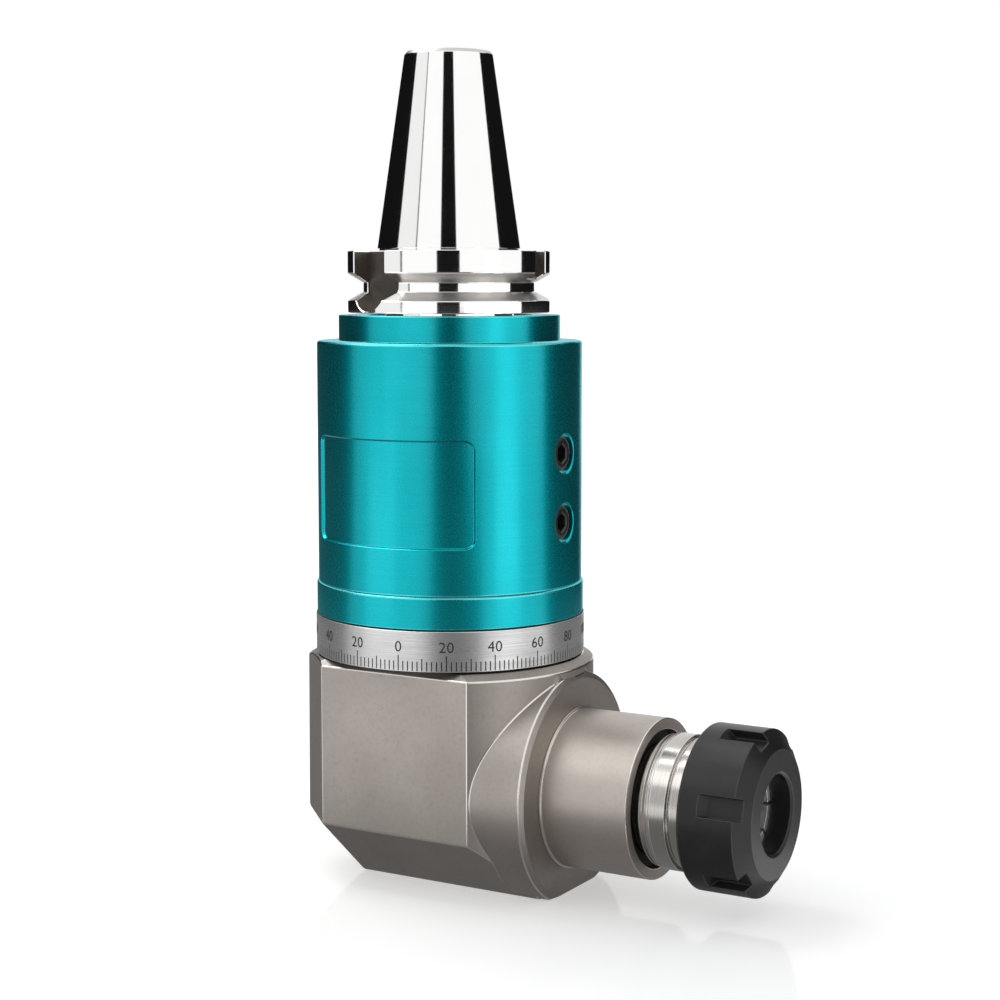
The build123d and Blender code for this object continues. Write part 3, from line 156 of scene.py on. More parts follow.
# %% True normals for turned faces
def true_normals(mesh, axes=("z",), alike=0.996):
    """Each corner of a turned face gets the normal (s cos t, s sin t, n).

    t is the corner's own angle, and n and s are the face's slope. A face counts as turned when it looks
    straight away from the axis, or straight at it, within the cosine alike.
    """
    faces = len(mesh.polygons)
    normal = np.empty(faces * 3)
    mesh.polygons.foreach_get("normal", normal)
    total = np.empty(faces, int)
    mesh.polygons.foreach_get("loop_total", total)
    owner = np.repeat(np.arange(faces), total)
    vertex = np.empty(len(mesh.loops), int)
    mesh.loops.foreach_get("vertex_index", vertex)
    place = points_of(mesh)[vertex]
    own = normal.reshape(-1, 3)[owner]
    result = own.copy()
    for axis in axes:
        along, u, v = (2, 0, 1) if axis == "z" else (0, 1, 2)
        arm = place[:, [u, v]] - (0 if axis == "z" else np.array([0, AXIS * MM]))
        arm /= np.maximum(np.linalg.norm(arm, axis=1), 1e-9)[:, None]
        slope = np.linalg.norm(own[:, [u, v]], axis=1)
        agree = np.einsum("ij,ij->i", arm, own[:, [u, v]]) / np.maximum(slope, 1e-9)
        worst = np.ones(faces)
        np.minimum.at(worst, owner, np.abs(agree))
        use = (worst[owner] > alike) & (slope > 0.02)
        exact = np.zeros_like(result)
        exact[:, along] = own[:, along]
        exact[:, u], exact[:, v] = (np.sign(agree) * slope)[:, None].T * arm.T
        result[use] = exact[use]
    mesh.shade_smooth()
    mesh.normals_split_custom_set(result.tolist())


# %% [markdown]
# ## Milled features
# Slots and holes are cut the way a milling cutter does it: a second closed shape takes its volume away.
# Blender's exact boolean does that, and its result is kept as a plain mesh. The cutter's faces carry the
# value 1 in an attribute called milled, and the boolean hands it to the walls that they leave, so those can
# get a rougher finish. The rims that a cutter leaves are broken afterwards, as the maker does it with a file.

# %% Cut one closed mesh with others
def milled(name, mesh, cutters):
    """The mesh less the volume of each cutter mesh."""
    for part, value in [(mesh, 0.0)] + [(cutter, 1.0) for cutter in cutters]:
        layer = part.attributes.new("milled", "FLOAT", "FACE")
        layer.data.foreach_set("value", np.full(len(part.polygons), value, np.float32))
    body = piece(name + "_blank", mesh)
    tools = [piece(name + "_tool", cutter) for cutter in cutters]
    for tool in tools:
        step = body.modifiers.new("cut", "BOOLEAN")
        step.operation, step.solver, step.object = "DIFFERENCE", "EXACT", tool
    found = body.evaluated_get(bpy.context.evaluated_depsgraph_get())
    result = bpy.data.meshes.new_from_object(found)
    result.name = name
    for spent in tools + [body]:
        bpy.data.objects.remove(spent)
    return result


def broken_rims(mesh, width):
    """The edges between a milled wall and a turned face get a bevel of that width in mm, marked as edge."""
    bm = bmesh.new()
    bm.from_mesh(mesh)
    bmesh.ops.remove_doubles(bm, verts=bm.verts, dist=0.02 * MM)
    cut, worn = bm.faces.layers.float["milled"], bm.faces.layers.float["edge"]
    rims = [e for e in bm.edges if e.is_manifold and e.calc_face_angle(0) > radians(25)
            and abs(e.link_faces[0][cut] - e.link_faces[1][cut]) > 0.5]
    rounds = bmesh.ops.bevel(bm, geom=rims, offset=width * MM, offset_type="OFFSET", segments=1,
                             profile=0.5, affect="EDGES", clamp_overlap=False)
    for face in rounds["faces"]:
        face[worn], face[cut] = 1.0, 0.0
    bm.to_mesh(mesh)
    bm.free()
    print(mesh.name, "rim edges:", len(rims))


# %% [markdown]
# ## The cutters
# Three shapes are enough here: a drill with a countersink, and a slot with a round or a square end. Each is
# drawn lying along its own direction, and three unit vectors then turn it to the side that it comes from.

# %% Drill and slot cutter
def outward(direction):
    """Unit vectors that point out from the axis at that angle, level to its left, and up."""
    t = np.radians(direction)
    return np.array([[np.cos(t), np.sin(t), 0], [-np.sin(t), np.cos(t), 0], [0, 0, 1.0]])


def round_tool(radius, depth, mouth, direction, distance, height):
    """Closed drill shape: a cylinder of that depth that opens by mouth where it leaves the part."""
    corners = [(0.01, 0), (radius, 0), (radius, depth), (radius + mouth, depth + mouth),
               (radius + mouth, depth + mouth + 3), (0.01, depth + mouth + 3)]
    t = np.linspace(0, 2 * np.pi, 48, endpoint=False)
    r, h = np.array(corners).T
    out = distance - depth - mouth + h[:, None] + 0 * t
    points = np.stack([out, r[:, None] * np.cos(t), r[:, None] * np.sin(t)], -1) @ outward(direction)
    points[..., 2] += height
    return shell_from_grid("tool", points)


def slot_tool(direction, floor, width, low, reach, round_bottom):
    """Closed prism: a U or a square (across, up) is carried outwards from the slot's floor by reach."""
    half, open_end = width / 2, low + 40
    if round_bottom:
        t = np.linspace(np.pi, 2 * np.pi, 33)
        outline = np.stack([half * np.cos(t), low + half + half * np.sin(t)], -1)
    else:
        outline = np.array([(-half, low), (half, low)])
    outline = np.concatenate([outline, [(half, open_end), (-half, open_end)]])
    count = len(outline)
    out = np.repeat([floor, floor + reach], count)[:, None]
    points = np.concatenate([out, np.tile(outline, (2, 1))], 1) @ outward(direction)
    side = np.arange(count)
    after = (side + 1) % count
    wall = np.stack([side, after, count + after, count + side], -1)
    mesh = bpy.data.meshes.new("tool")
    mesh.from_pydata((points * MM).tolist(), [],
                     wall.tolist() + [side[::-1].tolist(), (count + side).tolist()])
    bm = bmesh.new()
    bm.from_mesh(mesh)
    bmesh.ops.recalc_face_normals(bm, faces=bm.faces)
    bm.to_mesh(mesh)
    bm.free()
    return mesh


# %% [markdown]
# ## Finishes, built from nodes
# Each finish starts from the Principled shader. Its grain comes from noise in Object coordinates, which
# are metres here, so a scale of 1000 makes a spot about a millimetre wide. Stretching the noise along two
# axes gives the fine rings that a lathe tool leaves. A picture of scratched steel would show its seams on
# such round pieces, and noise in space has none.

# %% Helpers for node trees
def add_node(tree, kind, inputs=None, **settings):
    """New node of a tree; inputs holds plain values or sockets of other nodes."""
    made = tree.nodes.new("ShaderNode" + kind)
    for key, value in settings.items():
        setattr(made, key, value)
    for key, value in (inputs or {}).items():
        if isinstance(value, bpy.types.NodeSocket):
            tree.links.new(value, made.inputs[key])
        else:
            made.inputs[key].default_value = value
    return made


class Finish:
    """A material with its Principled shader and a short way to add nodes."""

    def __init__(self, name, color, metallic, roughness):
        """The plain values show until nodes take their place."""
        self.material = bpy.data.materials.new(name)
        self.material.use_nodes = True
        self.tree = self.material.node_tree
        self.shader = self.tree.nodes["Principled BSDF"]
        self.shader.inputs["Metallic"].default_value = metallic
        self.shader.inputs["Roughness"].default_value = roughness
        self.shader.inputs["Base Color"].default_value = (*color, 1)
        self.space = self.tree.nodes.new("ShaderNodeTexCoord").outputs["Object"]

    def noise(self, scale, detail=3.0, stretch=(1, 1, 1)):
        """Grey noise of that many spots to the metre, stretched by axis."""
        spot = add_node(self.tree, "Mapping", {"Vector": self.space, "Scale": stretch}).outputs[0]
        return add_node(self.tree, "TexNoise", {"Vector": spot, "Scale": scale, "Detail": detail}).outputs[0]

    def span(self, value, low, high, start=0.0, end=1.0):
        """value between start and end becomes low to high."""
        return add_node(self.tree, "MapRange", {0: value, 1: start, 2: end, 3: low, 4: high}).outputs[0]

    def sum(self, first, second):
        """Two values added."""
        return add_node(self.tree, "Math", {0: first, 1: second}).outputs[0]

    def mix(self, share, first, second):
        """Value mixed from two others by share."""
        return add_node(self.tree, "Mix", {0: share, 2: first, 3: second}).outputs[0]

    def blend(self, share, first, second):
        """Colour mixed from two others by share."""
        first, second = (v if isinstance(v, bpy.types.NodeSocket) else (*v, 1) for v in (first, second))
        return add_node(self.tree, "Mix", {0: share, 6: first, 7: second}, data_type="RGBA").outputs[2]

    def mark(self, name):
        """Value of an attribute of the mesh, such as edge or milled."""
        return add_node(self.tree, "Attribute", attribute_name=name).outputs["Fac"]

    def set(self, name, socket):
        """The shader's input of that name follows the socket."""
        self.tree.links.new(socket, self.shader.inputs[name])

    def bump(self, height, distance, strength=1.0):
        """Small relief: white of height stands that many metres above black."""
        relief = add_node(self.tree, "Bump", {"Height": height, "Distance": distance, "Strength": strength})
        self.set("Normal", relief.outputs[0])


finishes = {}

# %% [markdown]
# ## Case steel
# The case is nickel-grey steel with a fine blasted surface. Up close it is a little mottled, its edges are
# rubbed bright, and the grain breaks up every reflection. Two noises make the mottling, a third the grain,
# and the faces marked as edges take a paler, smoother steel. The sleeve in front is the same steel, painted
# paler as painted light for the stronger light that falls on it, so one function makes both.

# %% Case steel
def case_steel(name, light=1.0):
    """light is how much paler than the case a part is painted, as painted light where more light falls."""
    f = Finish(name, (0.41, 0.375, 0.345), 1.0, 0.45)
    tones = light * np.array([(0.385, 0.348, 0.318), (0.435, 0.398, 0.366), (0.32, 0.29, 0.265)])
    cloud, spot, grain, worn = f.noise(38, 4), f.noise(900, 3), f.noise(3600, 2), f.mark("edge")
    tone = f.blend(f.span(cloud, 0, 1, 0.35, 0.65), tones[0], tones[1])
    tone = f.blend(f.span(spot, 0, 0.3, 0.5, 0.75), tone, tones[2])
    f.set("Base Color", f.blend(worn, tone, (0.78, 0.74, 0.70)))
    f.set("Roughness", f.mix(worn, f.span(spot, 0.42, 0.48, 0.3, 0.7), 0.22))
    f.bump(grain, 0.00003, 0.6)
    return f.material


finishes["case_steel"] = case_steel("case_steel")
# Painted light: the sleeve is the case steel made 1.32 times paler, for the stronger light on it.
finishes["sleeve_steel_painted_light"] = case_steel("sleeve_steel_painted_light", 1.32)
print("finishes:", ", ".join(finishes))

# %% [markdown]
# ## Turned steels
# The scale ring, the nose rings and the gears share one recipe: bright steel with rings from the lathe
# tool. What differs is the axis that they were turned on, how coarse the tool went, and how bright they
# were polished. The collet is left blasted, so it is the roughest of them.

# %% Turned steel
def turned_steel(name, dark, bright, roughness, about="z", lines=7000):
    """lines is how many tool marks there are to the metre, along the axis that the piece turned on."""
    f = Finish(name, bright, 1.0, roughness)
    stretch = (0.006, 0.006, 1) if about == "z" else (1, 0.006, 0.006)
    rings, haze = f.noise(lines, 2, stretch), f.noise(55, 3)
    share = f.sum(f.span(rings, 0, 0.6, 0.3, 0.7), f.span(haze, 0, 0.4, 0.35, 0.7))
    f.set("Base Color", f.blend(f.mark("edge"), f.blend(share, bright, dark), (0.86, 0.85, 0.83)))
    f.set("Roughness", f.span(rings, roughness * 0.85, roughness * 1.2, 0.3, 0.7))
    f.bump(rings, 0.000004, 0.5)
    return f


for name, dark, bright, roughness, about in (
        ("spindle_steel", (0.40, 0.38, 0.355), (0.60, 0.575, 0.545), 0.2, "x"),
        ("collet_steel", (0.70, 0.70, 0.70), (0.88, 0.88, 0.87), 0.5, "x"),
        ("bearing_steel", (0.60, 0.60, 0.62), (0.78, 0.78, 0.80), 0.10, "z"),
        ("gear_steel", (0.28, 0.28, 0.29), (0.42, 0.42, 0.43), 0.34, "z")):
    finishes[name] = turned_steel(name, dark, bright, roughness, about).material
print("finishes:", ", ".join(finishes))

# %% [markdown]
# ## Scale steel
# The scale ring has the same turned surface, satin and light. The paint that fills the engraving is not a
# picture: each vertex in a groove carries the value 1 in an attribute called ink_and_shade, and the shader
# turns that into black. So paint and groove can never slip apart. The vertices in the two joints carry it
# too, and there the black is painted shade.

# %% Scale steel and scale paint
INK = (0.012, 0.012, 0.013)


def scale_steel():
    """Turned steel that is black where a vertex is inked: paint in the lines, painted shade in the joints."""
    f = turned_steel("scale_steel", (0.50, 0.50, 0.50), (0.70, 0.70, 0.70), 0.28, "z", 4200)
    ink_and_shade = f.mark("ink_and_shade")
    tone, rough = (f.shader.inputs[name].links[0].from_socket for name in ("Base Color", "Roughness"))
    f.set("Base Color", f.blend(ink_and_shade, tone, INK))
    f.set("Roughness", f.mix(ink_and_shade, rough, 0.75))
    f.set("Metallic", f.span(ink_and_shade, 1.0, 0.0))
    return f.material


def scale_paint():
    """Dull black paint of the numbers."""
    f = Finish("scale_paint", INK, 0.0, 0.6)
    f.set("Base Color", f.blend(f.noise(5000), (0.008, 0.008, 0.009), (0.03, 0.03, 0.03)))
    return f.material


# %% [markdown]
# ## Teal anodised aluminium
# Anodising turns the skin of aluminium into a thin, clear, dyed layer over bright metal. It looks like a
# coloured metal with a soft sheen, with the lathe's rings faintly under it. A thin coat on the shader
# stands for the clear layer. A little of the dye is lost on sharp edges, so they look paler.

# %% Teal anodised
def teal_anodised():
    """Dyed metal with lathe rings under a thin clear coat."""
    f = Finish("teal_anodised", (0.0, 0.50, 0.55), 1.0, 0.22)
    rings, cloud, grain = f.noise(3000, 2, (0.01, 0.01, 1)), f.noise(30, 3), f.noise(2600, 3)
    f.shader.inputs["Specular Tint"].default_value = (0.06, 0.72, 0.78, 1)
    f.shader.inputs["Coat Weight"].default_value = 0.25
    f.shader.inputs["Coat Roughness"].default_value = 0.14
    tone = f.blend(f.span(cloud, 0, 1, 0.3, 0.7), (0.001, 0.425, 0.488), (0.003, 0.485, 0.55))
    tone = f.blend(f.span(rings, 0, 0.3, 0.4, 0.7), tone, (0.001, 0.37, 0.432))
    f.set("Base Color", f.blend(f.mark("edge"), tone, (0.10, 0.72, 0.76)))
    f.set("Roughness", f.span(grain, 0.25, 0.3, 0.3, 0.7))
    f.bump(f.sum(rings, grain), 0.000005, 0.5)
    return f.material


# %% [markdown]
# ## Polished shank
# The taper is ground and polished until it is nearly a mirror, because it has to seat in the machine
# within microns. Only its seat is: the flanks of the V-groove and the bevel at the cone's end are left
# satin, and the drive slots are only milled, so they stay dark and rough. One material does all three, and
# the marks on the faces say which is which.

# %% Shank chrome
def shank_chrome():
    """Mirror where ground, satin where only turned, dark where milled."""
    f = Finish("shank_chrome", (0.92, 0.915, 0.91), 1.0, 0.06)
    rings, haze = f.noise(9000, 2, (0.004, 0.004, 1)), f.noise(70, 4)
    cut, grain = f.mark("milled"), f.noise(1800, 3)
    flank = f.span(f.mark("edge"), 0, 1, 1, 2)
    tone = f.blend(f.span(haze, 0, 0.4, 0.4, 0.8), (0.985, 0.98, 0.975), (0.92, 0.92, 0.92))
    tone = f.blend(flank, tone, (0.62, 0.60, 0.58))
    f.set("Base Color", f.blend(cut, tone, f.blend(grain, (0.17, 0.15, 0.135), (0.30, 0.27, 0.245))))
    smooth = f.mix(flank, f.span(rings, 0.04, 0.09, 0.3, 0.7), 0.28)
    f.set("Roughness", f.mix(cut, smooth, 0.36))
    f.bump(rings, 0.000001, 0.3)
    return f.material


# %% [markdown]
# ## Black oxide, rubber and brass
# The nut and screws are blackened steel. The oxide is thin and a little oily, so it has a dull sheen, and
# it rubs off the edges first. Light meets it as it would meet dark plastic, so its metallic value is 0.
# The seals are moulded rubber with dust in it, and the ball cages turned brass that has begun to tarnish.

# %% Black oxide, rubber and brass
def black_oxide():
    """Black skin, cloudy, with worn edges."""
    f = Finish("black_oxide", (0.014, 0.014, 0.0145), 0.0, 0.36)
    f.shader.inputs["Specular IOR Level"].default_value = 0.36
    cloud, grain = f.noise(90, 4), f.noise(3200, 3)
    tone = f.blend(f.span(cloud, 0, 1, 0.35, 0.7), (0.011, 0.011, 0.0115), (0.02, 0.0195, 0.0195))
    f.set("Base Color", f.blend(f.mark("edge"), tone, (0.06, 0.057, 0.054)))
    f.set("Roughness", f.span(grain, 0.32, 0.42, 0.3, 0.7))
    f.bump(grain, 0.000012, 0.5)
    return f.material


def seal_rubber():
    """Matt black with grey dust."""
    f = Finish("seal_rubber", (0.02, 0.02, 0.02), 0.0, 0.6)
    dust = f.noise(1500, 4)
    f.set("Base Color", f.blend(f.span(dust, 0, 1, 0.45, 0.75), (0.016, 0.016, 0.017), (0.045, 0.043, 0.04)))
    f.bump(dust, 0.00002, 0.5)
    return f.material


def cage_brass():
    """Yellow metal with brown tarnish and lathe rings."""
    f = Finish("cage_brass", (0.70, 0.52, 0.22), 1.0, 0.3)
    tarnish, rings = f.noise(160, 4), f.noise(5000, 2, (0.01, 0.01, 1))
    f.set("Base Color", f.blend(f.span(tarnish, 0, 0.7, 0.4, 0.7), (0.72, 0.53, 0.23), (0.48, 0.33, 0.13)))
    f.set("Roughness", f.span(rings, 0.24, 0.38, 0.3, 0.7))
    f.bump(rings, 0.000005, 0.5)
    return f.material


for make in (scale_steel, scale_paint, teal_anodised, shank_chrome, black_oxide, seal_rubber, cage_brass):
    finishes[make.__name__] = make()
print("finishes:", ", ".join(finishes))

# %% [markdown]
# ## Every piece gets its finish
# The bearings, gears and nuts inside are right as they come from CAD. They keep their meshes, and only take
# the finish that their slot names. A new piece needs more: the finish of its slot or another one given, the
# body that it moves with, and the CAD nodes that it stands for hidden. One function does all of it, so no
# piece is forgotten.

# %% CAD nodes and new pieces
for node_name, node_object in nodes.items():
    for place in node_object.material_slots:
        place.material = finishes[slot_of[node_name]]
print("slots in use:", ", ".join(sorted(set(slot_of.values()))))


def finish(made, slot, body, *replaced, coat=None):
    """Material, body and hidden CAD nodes of a new piece: the finish of slot, or coat where one is given."""
    made.data.materials.clear()
    made.data.materials.append(finishes[coat or slot])
    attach(made, body)
    if replaced:
        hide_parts(*replaced)
    print(made.name, "faces:", len(made.data.polygons))


# %% [markdown]
# ## The case
# The case is milled from a round bar, with two flats, sloping corners at its base and a round flange for
# the nose. Its shape mixes planes and cylinders that cross, which a single two-parameter surface can't
# follow. So a copy of the CAD mesh is merged, its flat areas are joined, and every sharp edge gets a small
# bevel. Outer and inner edges are bevelled in two passes, because a bevel that runs into both at once
# leaves a crease across the flat.

# %% Case from the CAD mesh
def honed(name, node, width, inner=0.0, rubbed=0.0, sharp=28, axes=("z", "x")):
    """Merged copy of a CAD node, with a bevel of that width in mm on outer edges sharper than sharp degrees.

    The bevel's faces carry the value 1 in the attribute edge. Inner corners are rounded by inner mm, and
    theirs carry the value rubbed.
    """
    bm = bmesh.new()
    bm.from_mesh(nodes[node].data)
    bmesh.ops.remove_doubles(bm, verts=bm.verts, dist=0.02 * MM)
    bmesh.ops.dissolve_degenerate(bm, edges=bm.edges, dist=0.02 * MM)
    bmesh.ops.dissolve_limit(bm, angle_limit=radians(0.15), verts=bm.verts, edges=bm.edges)
    worn = bm.faces.layers.float.new("edge")
    for reach, outer, value in ((width, True, 1.0), (inner, False, rubbed)):
        edges = [e for e in bm.edges if e.is_manifold and e.calc_face_angle(0) > radians(sharp)
                 and e.is_convex == outer]
        if reach and edges:
            rounds = bmesh.ops.bevel(bm, geom=edges, offset=reach * MM, offset_type="OFFSET", segments=2,
                                     profile=0.5, affect="EDGES", clamp_overlap=False)
            for face in rounds["faces"]:
                face[worn] = value
    print(name, "edges marked:", sum(face[worn] > 0.5 for face in bm.faces))
    mesh = bpy.data.meshes.new(name)
    bm.to_mesh(mesh)
    bm.free()
    mesh.update()
    true_normals(mesh, axes)
    return piece(name, mesh)


finish(honed("case_body", "angle_housing", 0.35, 0.3, 1.0), "case_steel", "housing", "angle_housing")

# %% [markdown]
# ## Bearing sleeve and nose rings
# The sleeve carries the two nose bearings, and the ground rings in front of it belong to the spindle that
# turns in it. Both are plain turned parts, so each is one profile carried round the output axis. A thin rim
# at the sleeve's root and two fine grooves on the spindle's shoulder are part of the same profiles.

# %% Sleeve and spindle
def turned_on_output(name, corners, ease):
    """Piece turned about the output axis from (distance along it, radius) in mm."""
    mesh = turned(name, eased([(radius, along) for along, radius in corners], ease), 256, "x")
    true_normals(mesh, ("x",))
    return piece(name, mesh)


sleeve_corners = [
    (37, 19.5), (37, 23.6), (46, 23.6), (46, 25.1), (46.7, 25.1), (46.7, 24.5), (74.9, 24.5), (74.9, 21),
    (64.75, 21), (64.75, 22.25), (63, 22.25), (63, 21), (45, 21), (45, 19.5)]
spindle_corners = [
    (-29.5, 3), (-29.5, 6), (-22, 6), (-22, 8.5), (9, 8.5), (9, 10), (32, 10), (32, 12.5), (63, 12.5),
    (63, 15), (73.3, 15), (73.3, 17), (76.5, 17), (76.5, 19.8), (77.3, 20.0), (77.3, 19.4), (77.8, 19.4),
    (77.8, 20.1), (79.0, 20.4), (79.0, 19.8), (79.4, 19.8), (79.4, 20.5), (80, 20.6), (80, 20.1),
    (80.4, 20.1), (80.4, 20.6), (85.4, 20.6), (85.4, 19.2), (86.9, 19.2), (86.9, 20.3), (90.6, 20.3),
    (90.6, 19.95), (98.2, 19.95), (99, 19.15), (99, 16.2), (64, 11.3), (64, 8), (35, 8), (35, 3)]
finish(turned_on_output("nose_sleeve", sleeve_corners, 0.35), "case_steel", "housing", "bearing_sleeve",
       coat="sleeve_steel_painted_light")
finish(turned_on_output("nose_rings", spindle_corners, 0.18), "spindle_steel", "output_shaft",
       "output_spindle")

# %% [markdown]
# ## Graduated ring
# The degree scale is engraved with a fine cutter and filled with black paint. A line each 2 degrees starts
# near the lower edge, and it is longer each 10 and longest each 20 degrees. A boolean with 180 cutters
# would be slow and leave a ragged mesh. Instead the grid has columns just at the walls of each line, and
# rows just at its ends, so the engraving is real geometry and still light. Above and below, the ring is
# stepped back, which leaves a joint to its neighbours, and the walls of that joint get painted shade.

# %% Ring with its engraved lines
ring_low, ring_high, ring_radius, ring_bore = 71.15, 84.1, 42.4, 32.52
line_half, line_wall, line_depth = 0.16, 0.02, 0.12
line_step, line_start = 2.0, -80.0
line_foot, line_tops = 0.65, (3.5, 4.4, 5.3)
gap_width, gap_depth = 0.38, 1.3


def ring_columns():
    """Angles of the columns: two at each wall of a line, and one between two lines."""
    line = np.radians(line_start + line_step * np.arange(round(360 / line_step)))
    walls = np.array([-line_half - line_wall, -line_half, line_half, line_half + line_wall]) / ring_radius
    around = np.concatenate([walls, [np.radians(line_step / 2)]])
    return (line[:, None] + around).ravel()


def line_depths(r, h, t):
    """Radius less the depth of the line where height and angle lie in one."""
    turn = (np.degrees(t) - line_start) / line_step
    index = np.round(turn).astype(int)
    near = np.abs(turn - index) * np.radians(line_step) * ring_radius < line_half + line_wall / 2
    short, middle, long = line_tops
    top = np.where(index % 10 == 0, long, np.where(index % 5 == 0, middle, short))
    inside = near & (h - ring_low > line_foot) & (h - ring_low < top + 0.001) & (r > ring_radius - 0.01)
    return np.where(inside, r - line_depth, r)


line_levels = [ring_low + line_foot - 0.01, ring_low + line_foot + 0.01]
for top in line_tops:
    line_levels += [ring_low + top, ring_low + top + 0.02]
step_radius = ring_radius - gap_depth
ring_corners = ([(ring_bore, ring_low), (step_radius, ring_low), (step_radius, ring_low + gap_width),
                 (ring_radius, ring_low + gap_width)]
                + [(ring_radius, level) for level in line_levels]
                + [(ring_radius, ring_high - gap_width), (step_radius, ring_high - gap_width),
                   (step_radius, ring_high), (ring_bore, ring_high)])
ring_ease = [0.2, 0, 0, 0.12] + [0] * len(line_levels) + [0.2, 0, 0, 0.2]
ring_mesh = turned("scale_ring", eased(ring_corners, ring_ease), cut=line_depths, angles=ring_columns())
print("lines on the scale:", round(360 / line_step))

# %% [markdown]
# ## Ink in the lines, painted shade in the joints
# Black paint is wiped over the engraving and stays in the lines. Here the vertices at the floor of a line
# get the value 1 in the attribute ink_and_shade. So do those inside the two joints, where the same black
# is painted shade, standing for the shade that fills them.

# %% Inked vertices: paint in the lines, painted shade in the joints
x, y, z = points_of(ring_mesh).T / MM
reach = np.hypot(x, y)
in_line = ((reach > ring_radius - 2 * line_depth) & (reach < ring_radius - line_depth / 2)
           & (z > ring_low + line_foot) & (z < ring_low + 6))
# Painted shade: the walls of the two joints are inked black for the shade in them.
joint_shade = ((reach > step_radius - 1) & (reach < ring_radius - 0.1)
            & (np.minimum(z - ring_low, ring_high - z) < gap_width + 0.01))
ink_and_shade = (in_line | joint_shade).astype(float)
ring_mesh.attributes.new("ink_and_shade", "FLOAT", "POINT").data.foreach_set("value", ink_and_shade)
true_normals(ring_mesh)
finish(piece("scale_ring", ring_mesh), "scale_steel", "upper_body", "graduated_ring")
print("inked vertices:", int(ink_and_shade.sum()))

# %% [markdown]
# ## Numbers on the scale
# The numbers count both ways from zero in steps of 20 degrees. They could be cut with a boolean as well,
# but paint this thin looks the same when it lies on the steel. Blender's own font is turned into a mesh
# first. Then its plane is wrapped on the ring: the way along the line of text becomes an angle.

# %% Numbers wrapped on the ring
def wrapped_number(text, degrees, height, size):
    """Mesh points and faces of a number: (u, v, w) lies at radius R + w, angle + u / R and height + v."""
    curve = bpy.data.curves.new("number", "FONT")
    curve.body, curve.align_x, curve.align_y, curve.size = text, "CENTER", "CENTER", size
    curve.extrude, curve.resolution_u, curve.space_character = 0.02, 4, 1.05
    holder = piece("number", curve)
    mesh = bpy.data.meshes.new_from_object(holder.evaluated_get(bpy.context.evaluated_depsgraph_get()))
    u, v, w = points_of(mesh).T
    faces = [tuple(face.vertices) for face in mesh.polygons]
    bpy.data.objects.remove(holder)
    t = np.radians(degrees) + u / ring_radius
    r = ring_radius + 0.02 + w
    return np.stack([r * np.cos(t), r * np.sin(t), height + v], -1), faces


number_step, number_rise, number_size = 20, 7.7, 4.6
number_points, number_faces, number_count = [], [], 0
for index in range(360 // number_step):
    value = number_step * min(index, 360 // number_step - index)
    points, faces = wrapped_number(str(value), line_start + number_step * index, ring_low + number_rise,
                                   number_size)
    number_points.append(points)
    number_faces += [tuple(number_count + k for k in face) for face in faces]
    number_count += len(points)
numbers = bpy.data.meshes.new("scale_numbers")
numbers.from_pydata((np.concatenate(number_points) * MM).tolist(), [], number_faces)
merged = bmesh.new()
merged.from_mesh(numbers)
bmesh.ops.remove_doubles(merged, verts=merged.verts, dist=0.001 * MM)
bmesh.ops.recalc_face_normals(merged, faces=merged.faces)
merged.to_mesh(numbers)
merged.free()
finish(piece("scale_numbers", numbers), "scale_steel", "upper_body", coat="scale_paint")

# %% [markdown]
# ## Lock ring
# The lock ring clamps the swivel, and a hook spanner turns it by the two holes on its far side. It is a
# turned blank with a soft upper corner, and the drill cuts both holes.

# %% Lock ring
lock_low, lock_high, lock_radius = 84.1, 93.85, 42.05
lock_profile = eased([(ring_bore, lock_low), (lock_radius, lock_low), (lock_radius, lock_high),
                      (ring_bore, lock_high)], [0.2, 0.35, 0.6, 0.2])
lock_mesh = milled("lock_ring_turned", turned("blank", lock_profile, 240), [
    round_tool(2.0, 4.0, 0.25, angle, lock_radius, (lock_low + lock_high) / 2) for angle in (90, 180)])
true_normals(lock_mesh)
finish(piece("lock_ring_turned", lock_mesh), "teal_anodised", "upper_body", "lock_ring")

# %% [markdown]
# ## Body shell
# The shell carries a shallow milled panel and two counterbored screws. The panel is a dent in the radius:
# it is deep where the distance to a rounded rectangle is negative, and its wall leans a little, so it
# catches light. The grid gets close rows and columns only along the rectangle, so the wall is crisp and
# the rest of the shell stays light.

# %% Body shell with its panel and counterbores
shell_low, shell_high, shell_radius = 93.85, 169.1, 41.5
panel_middle, panel_half, panel_rise, panel_round, panel_depth, panel_lean = 124.3, 28.0, 16.3, 3.0, 1.0, 0.5
screw_heights, seat_radius, seat_depth, seat_mouth = (113.9, 135.1), 5.75, 6.8, 1.0


def panel_dent(r, h, t):
    """Radius less the panel's depth: d is the distance to the rounded rectangle, less than 0 inside it.

    The wall runs from d = 0 to d = -lean along the curve 3 s^2 - 2 s^3.
    """
    u = np.abs(shell_radius * np.cos(t)) - panel_half + panel_round
    v = np.abs(h - panel_middle) - panel_rise + panel_round
    d = np.hypot(np.maximum(u, 0), np.maximum(v, 0)) + np.minimum(np.maximum(u, v), 0) - panel_round
    share = np.clip(-d / panel_lean, 0, 1)
    on_wall = (np.sin(t) < 0) & (r > shell_radius - 0.05) & (h > shell_low + 1) & (h < shell_high - 2)
    return np.where(on_wall, r - panel_depth * share * share * (3 - 2 * share), r)


panel_edge = np.degrees(np.arccos(panel_half / shell_radius))
# Close columns where the panel's side walls and round corners run, and one each 1.5 degrees elsewhere.
close = np.linspace(-panel_edge - 6.2, -panel_edge + 0.6, 46)
shell_angles = np.unique(np.round(np.radians(np.concatenate([
    np.arange(-panel_edge + 1.5, 180 + panel_edge - 1.4, 1.5), 180 - close[::-1],
    np.arange(180 + panel_edge + 7.0, 360 - panel_edge - 6.9, 1.5), close + 360])), 6))
